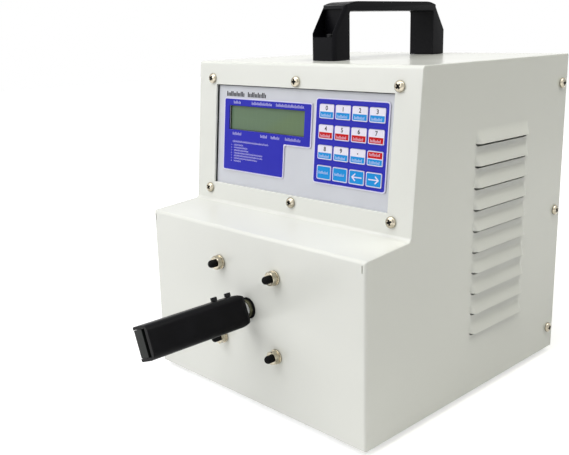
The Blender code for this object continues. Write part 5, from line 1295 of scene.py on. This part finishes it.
def build_marks():
    """Rows of plain strokes in the places of the film's legends: a dark heading, one row over
    and one under the display, and a list with its dots."""
    face = face_matrix()
    overlay, top = panel_levels()
    bm = bmesh.new()
    for left, run in ((-95.0, 26.0), (-65.6, 25.0)):
        strokes(bm, overlay + PRINT, *mm(left, 101.8, run, 4.6), 0.72)
    dress(bm, "heading_strokes", "film_digit", face)
    rows = [(left, 95.2, run, 2.7) for left, run in ((-83.4, 10.6), (-58.3, 27.7), (-26.0, 35.5))]
    for left, run in ((-83.8, 12.3), (-45.2, 8.6), (-31.3, 11.6), (-12.8, 19.0)):
        rows.append((left, 66.0, run, 2.7))
    rows.append((-83.5, 59.2, 49.2, 1.7))
    for index, run in enumerate((12.9, 19.0, 20.0, 39.5, 40.0, 33.0, 10.0)):
        rows.append((-81.3, 56.0 - 2.5 * index, run, 1.5))
        rows.append((-85.3, 56.0 - 2.5 * index, 0.8, 1.2))
    bm = bmesh.new()
    for row in mm(*rows):
        strokes(bm, top + PRINT, *row)
    dress(bm, "legend_strokes", "film_line", face)


def build_display():
    """The display's glass behind its window, and the finish of its frame and the overlay."""
    sizes = settings("controls")
    behind, thick, corner = mm(0.6 + 0.5, 2.4, 0.4)
    top = panel_levels()[0] - behind - SEAT
    low = (-sizes.display_left + SEAT, sizes.display_low + SEAT)
    high = (low[0] + sizes.display_width - 2 * SEAT, low[1] + sizes.display_height - 2 * SEAT)
    bm = solid(slab, rounded(low, high, corner, 3), top - thick, top)
    dress(bm, "display_pane", "display", face_matrix(), "lcd_glass", edge=0.1)
    clothe("overlay_sheet", "film_grey")
    clothe("lcd_bezel", "oxide")


def figure(character, height, level):
    """The mesh of one figure, centred at the origin and lying at this level."""
    letters = bpy.data.curves.new("figure", "FONT")
    letters.body = character
    letters.align_x = "CENTER"
    letters.size = height / 0.72
    letters.offset = 0.13 * MM
    bm = evaluated(add_object("figure", letters))
    heights = [vert.co.y for vert in bm.verts]
    middle = (min(heights) + max(heights)) / 2
    for vert in bm.verts:
        vert.co.y -= middle
        vert.co.z = level
    return bm


def arrow(direction, level):
    """The mesh of a plain arrow, pointing left for -1 and right for 1."""
    point, upper = (5.6, 0.0), [(1.7, 3.3), (0.9, 2.6), (3.2, 0.5), (-5.6, 0.5)]
    outline = [point, *upper, *((x, -y) for x, y in reversed(upper))]
    bm = bmesh.new()
    bm.faces.new(points_of(bm, mm(*((direction * x, y) for x, y in outline)), level))
    return bm


def key_pad(low_tint, high_tint):
    """The bodies of one key: its pad, and its printed fields inside a pale line. A key
    without an upper colour of its own has one whole field."""
    sizes = settings("controls")
    across, up, line = sizes.key_width / 2, sizes.key_height / 2, sizes.key_line
    bm = solid(slab, centred(across, up, sizes.key_corner, 5), 0.0, KEY_THICK)
    corner, square, thin, split = sizes.key_corner - line / 2, 0.05 * MM, 0.2 * MM, -sizes.key_split
    if high_tint == low_tint:
        fields = [(1, -up + line, up - line, corner)]
    else:
        rim, part = (line, line / 2) if high_tint == "film_red" else (thin, 0.0)
        fields = [
            (1, -up + line, split - part, (corner, square, square, corner)),
            (2, split + part, up - rim, (square, corner, corner, square)),
        ]
    for index, low, high, radius in fields:
        side = across - (thin if index == 2 and high_tint == "film_white" else line)
        outline = rounded((-side, low), (side, high), radius, 3)
        made = bm.faces.new(points_of(bm, outline, KEY_THICK + 0.015 * MM))
        made.material_index = index
    return bm


def key_marks(mark, row):
    """The marks printed on one key, as (name, finish, bodies): a figure, an arrow or a point
    above, and rows of plain strokes where the film has a legend."""
    sizes, level = settings("controls"), KEY_THICK + PRINT
    half, dot = sizes.key_height / 2, 0.6 * MM
    upper = (half - sizes.key_split) / 2
    if mark in ("left", "right"):
        return [("arrow", "film_line", arrow(-1 if mark == "left" else 1, level))]
    made = []
    if mark.isdigit():
        ink = figure(mark, sizes.digit_height, level)
        bmesh.ops.translate(ink, vec=(0.0, upper, 0.0), verts=ink.verts)
        made.append(("figure", "film_digit", ink))
    elif mark == "point":
        ink = bmesh.new()
        bmesh.ops.create_circle(ink, cap_ends=True, segments=20, radius=dot)
        bmesh.ops.translate(ink, vec=(0.0, upper - dot, level), verts=ink.verts)
        made.append(("figure", "film_digit", ink))
    ink = bmesh.new()
    run, tall = mm(11.5, 2.4)
    spots = [-half / 2 - sizes.key_split] if row < 3 else [0.0]
    if mark == "enter":
        spots.append(half / 2)
    for spot in spots:
        strokes(ink, level, -run / 2, spot - tall / 2, run, tall)
    made.append(("strokes", "film_line", ink))
    return made


def build_keys():
    """The sixteen keys, each on its own body, with its figure, arrow or strokes."""
    base = panel_levels()[0] + 0.55 * MM
    slots = {"film_white": "white_key_film", "film_sky": "light_blue_key_film"}
    for row, names in enumerate(KEY_ROWS):
        for name in names:
            low_tint = "film_red" if row == 1 else "film_sky"
            high_tint = "film_sky" if row == 3 else "film_white"
            if name == "key_enter":
                high_tint = "film_red"
            body, place = name + "_pad", face_matrix() @ at(*key_place(name), base)
            finishes, slot = ("film_line", low_tint, high_tint), slots.get(high_tint, "red_key_film")
            dress(key_pad(low_tint, high_tint), f"{name}_film", finishes, place, name, body)
            for kind, tint, ink in key_marks(name.split("_")[1], row):
                dress(ink, f"{name}_{kind}", tint, place, body=body)


# Clamp head


def build_collar():
    """The rubber seal in the front wall and the nickel collar on the spindle."""
    rear, front = HEAD @ towards(0.0, 1.0, 0.0), -settings("head").base + SEAT
    seal = solid(ring, *mm(8.2, 9.3, -1.2, 1.5, 0.4))
    dress(seal, "wall_seal", "rubber", rear, "shaft_seal")
    bore, outer, back, soft = mm(7.3, 7.9, 1.5, 0.5)
    collar = solid(ring, bore, outer, front, back, soft)
    dress(collar, "collar_ring", "collar", rear, "spindle_collar", "spindle_set")


def base_rounding(half, across, axes):
    """A bar as wide as the head in one view, its corners at the base rounded, which reaches
    past the head in the other view and at the tip."""
    sizes, square = settings("head"), 0.01 * MM
    soft = min(sizes.base_round, half - 0.5 * MM)
    radii = (square, soft, soft, square)
    outline = rounded((-half, -sizes.tip - PAST), (half, -sizes.base), radii, 10)
    return solid(slab, outline, -across - PAST, across + PAST, axes)


def build_head():
    """The clamp head's body: a drawn bar, rounder at the grip's side and at its base, bored
    for the spindle and hollowed for the jaw."""
    sizes = settings("head")
    wide, tall = sizes.width / 2, sizes.height / 2
    bore_end, screw_hole, screw_low = mm(38.6, 2.3, 7)
    radii = (sizes.corner, sizes.corner, sizes.jaw_corner, sizes.jaw_corner)
    bm = solid(slab, centred(wide, tall, radii, 10), -sizes.tip, -sizes.base, ALONG_Y)
    bm = combine(bm, base_rounding(wide, tall, ALONG_Z), "INTERSECT")
    bm = combine(bm, base_rounding(tall, wide, ALONG_UP), "INTERSECT")
    inside, top = tall - sizes.wall, tall + PAST
    low = (-wide - PAST, -sizes.tip - PAST, -inside)
    hollow = solid(box, low, (wide - sizes.grip_wall, -sizes.cavity, inside))
    rod(hollow, SPINDLE_HOLE, (0, 0, 0), (0, -bore_end, 0), FINE)
    rod(hollow, PIN_HOLE, (PIN_SIDE, -PIN_REACH, -top), (PIN_SIDE, -PIN_REACH, top))
    for reach in HEAD_SCREWS:
        rod(hollow, screw_hole, (0, -reach, screw_low), (0, -reach, top))
    bm = combine(bm, hollow)
    dress(bm, "clamp_body", "anodised", HEAD, "head_body", "spindle_set", edge=0.35)


def build_head_fasteners():
    """The two socket screws, the jaw's pin and its spring."""
    tall = settings("head").height / 2
    seat = (tall + SEAT) / MM
    top = seat + 3.2
    shank = ((0, SPINDLE_HOLE / MM), (2, SPINDLE_HOLE / MM), (2, seat), (2.7, seat))
    profile = mm(*shank, (2.8, seat + 0.1), (2.8, top - 0.3), (2.5, top), (0, top))
    for index, reach in enumerate(HEAD_SCREWS, 1):
        screw, place = socket_screw(profile, 1.5 * MM, 1.6 * MM), HEAD @ at(0.0, -reach, 0.0)
        name, node = f"socket_screw_{index}", f"head_screw_{index}"
        dress(screw, name, "oxide", place, node, "spindle_set", edge=0.08)
    hinge = HEAD @ at(PIN_SIDE, -PIN_REACH, 0.0)
    radius, soft = mm(1.5, 0.35)
    pin = ((0.0, -tall), (radius, -tall), (radius, tall), (0.0, tall))
    pin = solid(turned, soft_profile(pin, soft))
    dress(pin, "hinge_pin", "steel", hinge, "jaw_pin", "spindle_set")
    build_spring(hinge)


def build_spring(hinge):
    """The torsion spring round the pin, wound from round wire with two straight legs."""
    sizes = settings("head")
    radius, wire, pitch, leg, play = mm(2.4, 0.45, 1.8, 5, 3)
    turns, steps = 3, 32
    low = -turns * pitch / 2
    points = [(-radius, leg, low)]
    for index in range(turns * steps + 1):
        done = index / steps
        spot = math.pi + done * math.tau
        points.append((radius * math.cos(spot), radius * math.sin(spot), low + done * pitch))
    wall = sizes.width / 2 - sizes.grip_wall + play - wire - SEAT
    points += [(-radius + pitch, -radius - wire, -low), (wall, -radius - wire, -low)]
    curve = bpy.data.curves.new("torsion_spring", "CURVE")
    curve.dimensions = "3D"
    curve.bevel_depth = wire
    curve.bevel_resolution = 4
    curve.use_fill_caps = True
    line = curve.splines.new("POLY")
    line.points.add(len(points) - 1)
    for point, spot in zip(line.points, points):
        point.co = (*spot, 1.0)
    line.use_smooth = True
    curve.materials.append(surface("steel"))
    spring = add_object("torsion_spring", curve)
    attach(spring, hinge, "spindle_set", "jaw_spring")


def build_jaw():
    """The sprung jaw with its row of teeth, thumb dish and spring pocket."""
    sizes = settings("head")
    outer = -sizes.width / 2 - PIN_SIDE
    inner = sizes.width / 2 - sizes.grip_wall - sizes.slot - PIN_SIDE
    back, edge, depth, pitch, dip, play = mm(46.5, 0.8, 0.6, 2.2, 0.8, 0.35)
    tip, tail, teeth = PIN_REACH - sizes.tip, PIN_REACH - back, 14
    dish_low, dish_high = 2.3 * MM, tail - edge - 1.5 * MM
    outline = []
    for step in range(11):
        share = step / 10
        place = dish_high + (dish_low - dish_high) * share
        outline.append((outer + dip * math.sin(math.pi * share), place))
    outline += [(outer, tip + edge), (outer + edge, tip), (inner - depth, tip)]
    start = tip + 3 * MM
    for tooth in range(teeth):
        place = start + tooth * pitch
        outline += [(inner, place), (inner - depth, place + pitch / 2)]
    outline += [
        (inner, start + teeth * pitch), (inner, tail - edge), (inner - edge, tail),
        (outer + edge, tail), (outer, tail - edge),
    ]
    half, (pocket, round_pocket) = sizes.height / 2 - sizes.wall - play, mm(3.8, 3.6)
    cuts = solid(rod, PIN_HOLE, (0, 0, -half - MM), (0, 0, half + MM))
    rod(cuts, round_pocket, (0, 0, -pocket), (0, 0, pocket))
    box(cuts, (0, -round_pocket, -pocket), (inner + PAST, round_pocket, pocket))
    box(cuts, (-pocket, 0, -pocket), (-MM, 7 * MM, pocket))
    bm = combine(solid(slab, outline, -half, half), cuts)
    hinge = HEAD @ at(PIN_SIDE, -PIN_REACH, 0.0)
    dress(bm, "clamp_jaw", "jaw", hinge, "head_jaw", "jaw", edge=0.15)


# Rear fittings


def build_inlet():
    """The mains inlet: moulded flange and body, three blades and two screws."""
    place = rear_place(70, 62)
    high, floor = mm(3.3, -11.7)
    flange = solid(slab, centred(*mm(24, 13.5, 4.5), 8), SEAT, high, ALONG_Y)
    body = solid(box, *mm((-14, -18, -10.5), (14, 1.8, 10.5)))
    bm = combine(flange, body, "UNION")
    mouth = mm((-12.2, -8.3), (12.2, -8.3), (12.2, 4.4), (8.3, 8.3), (-8.3, 8.3), (-12.2, 4.4))
    cuts = solid(slab, mouth, floor, high + PAST, ALONG_Y)
    seats = mm(-20, 20)
    hole, sink, deep, proud = mm(1.7, 3.3, 2, 0.01)
    for x in seats:
        rod(cuts, hole, (x, high - deep, 0), (x, high + proud, 0), PLAIN, sink)
    dress(combine(bm, cuts), "inlet_body", "nylon", place, "power_inlet", edge=0.3)
    for index, (x, z) in enumerate(((-7, -2), (0, 2), (7, -2)), 1):
        blade = solid(box, *mm((x - 1, -13, z - 2), (x + 1, -1.7, z + 2)))
        dress(blade, f"inlet_blade_{index}", "nickel", place, edge=0.4)
    profile = mm((0, -4), (1.4, -4), (1.6, -2), (3, -0.4), (2.9, 0.1), (1.8, 0.7), (0, 0.95))
    head = combine(solid(turned, profile), cross_recess(*mm(1.5, 0.35, -0.6, 2)))
    shape = to_mesh(outward(head), "countersunk_screw")
    for index, x in enumerate(seats, 1):
        seat = place @ at(x, high, 0.0) @ towards(0.0, 1.0, 0.0)
        place_shape(shape, f"inlet_screw_{index}", "nickel", seat)


def build_switch():
    """The power switch: moulded housing and red rocker with its two printed signs."""
    place, top = rear_place(70, 108), 2.3
    flange = solid(slab, centred(*mm(10.5, 15.5, 1.6)), SEAT, top * MM, ALONG_Y)
    bm = combine(flange, solid(box, *mm((-9.3, -20, -13.5), (9.3, 1, 13.5))), "UNION")
    well = solid(slab, centred(*mm(8.1, 13.1, 0.8), 4), *mm(-12, top + 2), ALONG_Y)
    bm = combine(bm, well)
    dress(bm, "switch_frame", "nylon", place, "switch_housing", edge=0.35)
    sunk, rise, room, travel = 3.5, 4.5, 0.4, math.radians(16.0)
    pivot = place @ at(0.0, -sunk * MM, 0.0) @ turn(-8.0, "X")
    reach = (13.1 - room - rise * math.sin(travel)) * MM
    low, dip, high, wide = mm(-3, top + sunk, top + rise / 2 + sunk, 7.7)
    outline = [(low, -reach), (high, -reach)]
    for step in range(1, 12):
        share = step / 6 - 1
        outline.append((dip + (high - dip) * share * share, share * reach))
    outline += [(high, reach), (low, reach)]
    bm = solid(slab, outline, -wide, wide, ALONG_X)
    dress(bm, "rocker_cap", "rocker", pivot, "power_rocker", "rocker", edge=0.5)
    line = solid(box, *mm((-0.4, -1.9, 0), (0.4, 1.9, 0.03)))
    sign = bmesh.new()
    edges = centred(*mm(1.9, 1.9, 1.89), 8), centred(*mm(1.2, 1.2, 1.19), 8)
    band(sign, *(points_of(sign, edge, 0.02 * MM) for edge in edges))
    for name, spot, mark in (("line", 7.6 * MM, line), ("ring", -7.6 * MM, sign)):
        share = spot / reach
        level = dip + (high - dip) * share * share + 0.04 * MM
        slope = math.degrees(math.atan2(2 * (high - dip) * share, reach))
        seat = pivot @ at(0.0, level, spot) @ turn(slope, "X") @ towards(0.0, 1.0, 0.0)
        dress(mark, f"rocker_{name}", "film_white", seat, body="rocker")


def build_fuse_holder():
    """The fuse holder: threaded body, hexagon ring and ribbed cap with its slot."""
    place = rear_place(20, 62) @ towards(0.0, 1.0, 0.0)
    profile = [(0, -26), (5.4, -26), (6, -25)]
    for start in range(-24, -2):
        profile += [(6, start), (5.6, start + 0.5)]
    bm = solid(turned, mm(*profile, (6, SEAT / MM), (6, 3), (0, 3)))
    add_mesh(bm, hex_nut(*mm(8.5, 0.3, 3.3)))
    count, rib, groove, outline = 28 * 4, 6.6 * MM, 6.2 * MM, []
    for index in range(count):
        radius, spot = rib if index % 4 in (0, 1) else groove, math.tau * index / count
        outline.append((radius * math.cos(spot), radius * math.sin(spot)))
    slot = solid(box, *mm((-5, -0.7, 8.4), (5, 0.7, 11)))
    add_mesh(bm, combine(solid(slab, outline, *mm(3.3, 10)), slot))
    dress(bm, "fuse_cap", "nylon", place, "fuse_holder", edge=0.2)


def build_pedal_socket():
    """The foot pedal's socket: threaded nickel barrel with a key notch, black insert and two
    pins."""
    place = rear_place(-30, 62) @ towards(0.0, 1.0, 0.0)
    profile = [(5.8, -14), (7.5, -14), (7.5, 0.3), (9.3, 0.3), (9.5, 0.5), (9.5, 2.9), (9.1, 3.3)]
    profile.append((7.2, 3.3))
    for ridge in range(5):
        start = 3.6 + 0.8 * ridge
        profile += [(7.5, start), (7.15, start + 0.4)]
    profile += [(7.4, 7.8), (7.2, 8), (5.9, 8), (5.8, 7.9), (5.8, -14)]
    notch = solid(box, *mm((-0.8, 5, 4.5), (0.8, 8.5, 9)))
    barrel = combine(solid(turned, mm(*profile)), notch)
    dress(barrel, "socket_barrel", "nickel", place, "pedal_socket", edge=0.08)
    insert = solid(turned, mm((0, -13), (5.75, -13), (5.75, -1), (0, -1)))
    dress(insert, "socket_insert", "nylon", place, edge=0.2)
    outline = soft_profile(mm((0, -3), (0.8, -3), (0.8, 5), (0, 5)), 0.5 * MM)
    for index, x in enumerate(mm(-3.2, 3.2), 1):
        pin = solid(turned, outline, at(x, 0.0, 0.0), PLAIN)
        dress(pin, f"socket_pin_{index}", "nickel", place)


def build_inside():
    """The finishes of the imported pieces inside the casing."""
    clothe("base_plate", "zinc")
    clothe("motor_body", "enamel")
    clothe("motor_bearing", "steel")
    clothe("spindle", "steel")
    clothe("control_board", "board")
    clothe("power_supply", "zinc")
    clothe("motor_driver", "oxide")


# Stage


def stage_light():
    """White for what the camera, gloss and glass see, and plain ambient light for the rest."""
    world = bpy.data.worlds.new("studio")
    bpy.context.scene.world = world
    world.use_nodes = True
    tree = world.node_tree
    tree.nodes.clear()
    lights = {0: seen_directly(tree)}
    for socket, strength in ((1, settings("stage").ambient), (2, 1.0)):
        values = {"Color": (1, 1, 1, 1), "Strength": strength}
        lights[socket] = add_node(tree, "Background", values)
    mix = add_node(tree, "MixShader", links=lights)
    add_node(tree, "OutputWorld", links={"Surface": mix})


def seen_directly(tree):
    """One for camera, glossy and transmission rays, and zero for the others."""
    path = add_node(tree, "LightPath").outputs
    seen = path["Is Camera Ray"]
    for kind in ("Is Glossy Ray", "Is Transmission Ray"):
        seen = add_node(tree, "Math", links={0: seen, 1: path[kind]}, operation="MAXIMUM")
    return seen


def floor_finish():
    """Matt studio floor: its own light adds to the shade of the object, so that it stays
    pale and keeps the shadow."""
    stage, white = settings("stage"), (1.0, 1.0, 1.0, 1.0)
    made, tree, shader, place = start_finish(
        "matt_studio_floor", 0.9, Specular_IOR_Level=0.1, Emission_Color=white
    )
    drift = add_node(tree, "TexNoise", {"Scale": 3.0}, {"Vector": place})
    stops = ((0.3, shade(stage.floor, 0.99)), (0.7, tuple(stage.floor)))
    tints = add_node(tree, "ValToRGB", links={"Fac": drift}, stops=stops)
    away = add_node(tree, "VectorMath", links={0: place}, operation="LENGTH").outputs["Value"]
    fade = add_node(tree, "MapRange", span(0.25, 1.1, stage.floor_lift, 1.0), {"Value": away})
    lift = add_node(tree, "Math", links={0: seen_directly(tree), 1: fade}, operation="MULTIPLY")
    connect(tree, shader, {"Base Color": tints, "Emission Strength": lift})
    return made


def add_lamp(name, place, size, power, tint="FFFFFF"):
    """A square softbox that faces the middle of the machine."""
    lamp = bpy.data.lights.new(name, "AREA")
    lamp.color = linear(tint)
    lamp.shape = "SQUARE"
    lamp.size = size
    lamp.energy = power
    holder = add_object(name, lamp)
    holder.location = place
    holder.rotation_mode = "QUATERNION"
    way = Vector((0.0, 0.0, 0.16)) - Vector(place)
    holder.rotation_quaternion = way.to_track_quat("-Z", "Y")


def build_stage():
    """The floor, the lamps, the light all round and the camera."""
    stage = settings("stage")
    bm = bmesh.new()
    bmesh.ops.create_grid(bm, x_segments=8, y_segments=8, size=4.0)
    floor = add_object("studio_floor", to_mesh(bm, "studio_floor"))
    floor.data.materials.append(floor_finish())
    stage_light()
    add_lamp("key_softbox", (-0.75, -1.45, 1.15), 1.6, stage.key_power)
    add_lamp("top_softbox", (0.0, -0.6, 1.7), 1.5, stage.top_power)
    add_lamp("side_softbox", (0.85, 0.3, 1.65), 0.8, stage.side_power, "FFFFF3")
    cam = bpy.data.cameras.new("photo_camera")
    cam.sensor_width = 36.0
    cam.lens = stage.lens
    cam.clip_start = 0.02
    cam.clip_end = 50.0
    holder = add_object("photo_camera", cam)
    way = Matrix.Rotation(stage.azimuth, 4, "Z")
    way = way @ Matrix.Rotation(math.radians(90.0) - stage.elevation, 4, "X")
    way = way @ Matrix.Rotation(stage.roll, 4, "Z")
    holder.matrix_world = MACHINE @ at(*stage.place) @ way
    bpy.context.scene.camera = holder
    bpy.context.scene.view_settings.view_transform = "Standard"


class TWISTER_OT_casing(bpy.types.Operator):
    """Builds the folded casing with its louvres and window, and the rear panel"""

    bl_idname = "twister.casing"
    bl_label = "Casing"

    def execute(self, context):
        build_casing()
        build_rear_panel()
        return {"FINISHED"}


class TWISTER_OT_fasteners(bpy.types.Operator):
    """Builds the screws, motor nuts, rubber caps and feet"""

    bl_idname = "twister.fasteners"
    bl_label = "Fasteners and Feet"

    def execute(self, context):
        build_screws()
        build_studs()
        build_feet()
        return {"FINISHED"}


class TWISTER_OT_handle(bpy.types.Operator):
    """Builds the moulded carry handle and its screws"""

    bl_idname = "twister.handle"
    bl_label = "Carry Handle"

    def execute(self, context):
        build_handle()
        return {"FINISHED"}


class TWISTER_OT_controls(bpy.types.Operator):
    """Builds the control film, its plate, the display and the sixteen keys"""

    bl_idname = "twister.controls"
    bl_label = "Controls"

    def execute(self, context):
        build_plate()
        # A dark gasket that paints the shade inside the window's edge.
        build_gasket()
        build_fields()
        build_marks()
        build_display()
        build_keys()
        return {"FINISHED"}


class TWISTER_OT_head(bpy.types.Operator):
    """Builds the clamp head with its collar, jaw, pin, spring and screws"""

    bl_idname = "twister.head"
    bl_label = "Clamp Head"

    def execute(self, context):
        build_collar()
        build_head()
        build_head_fasteners()
        build_jaw()
        return {"FINISHED"}


class TWISTER_OT_rear(bpy.types.Operator):
    """Builds the mains inlet, power switch, fuse holder and pedal socket"""

    bl_idname = "twister.rear"
    bl_label = "Rear Fittings"

    def execute(self, context):
        build_inlet()
        build_switch()
        build_fuse_holder()
        build_pedal_socket()
        return {"FINISHED"}


class TWISTER_OT_inside(bpy.types.Operator):
    """Finishes the motor, board and power units inside the casing"""

    bl_idname = "twister.inside"
    bl_label = "Inner Pieces"

    def execute(self, context):
        build_inside()
        return {"FINISHED"}


class TWISTER_OT_stage(bpy.types.Operator):
    """Builds the floor, the lamps and the camera"""

    bl_idname = "twister.stage"
    bl_label = "Stage"

    def execute(self, context):
        build_stage()
        return {"FINISHED"}


OPERATORS = (
    TWISTER_OT_casing,
    TWISTER_OT_fasteners,
    TWISTER_OT_handle,
    TWISTER_OT_controls,
    TWISTER_OT_head,
    TWISTER_OT_rear,
    TWISTER_OT_inside,
    TWISTER_OT_stage,
)


class TWISTER_PT_panel(bpy.types.Panel):
    """The machine's pieces and settings in the 3D view's sidebar"""

    bl_idname = "TWISTER_PT_panel"
    bl_label = "Wire Twisting Machine"
    bl_space_type = "VIEW_3D"
    bl_region_type = "UI"
    bl_category = "Twister"

    def draw(self, context):
        for operator in OPERATORS:
            self.layout.operator(operator.bl_idname)
        for name in GROUPS:
            group = getattr(context.scene, name)
            column = self.layout.box().column()
            column.label(text=name.split("_")[1].capitalize())
            for prop in group.bl_rna.properties:
                if prop.identifier not in ("rna_type", "name"):
                    column.prop(group, prop.identifier)


def register():
    for group in GROUPS.values():
        bpy.utils.register_class(group)
    for name, group in GROUPS.items():
        setattr(bpy.types.Scene, name, PointerProperty(type=group))
    for operator in OPERATORS:
        bpy.utils.register_class(operator)
    bpy.utils.register_class(TWISTER_PT_panel)


def unregister():
    bpy.utils.unregister_class(TWISTER_PT_panel)
    for operator in reversed(OPERATORS):
        bpy.utils.unregister_class(operator)
    for name, group in GROUPS.items():
        delattr(bpy.types.Scene, name)
        bpy.utils.unregister_class(group)


def main():
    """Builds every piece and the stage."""
    register()
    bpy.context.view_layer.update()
    bpy.ops.twister.casing()
    bpy.ops.twister.fasteners()
    bpy.ops.twister.handle()
    bpy.ops.twister.controls()
    bpy.ops.twister.head()
    bpy.ops.twister.rear()
    bpy.ops.twister.inside()
    bpy.ops.twister.stage()
    bpy.context.view_layer.update()


if __name__ == "__main__":
    main()
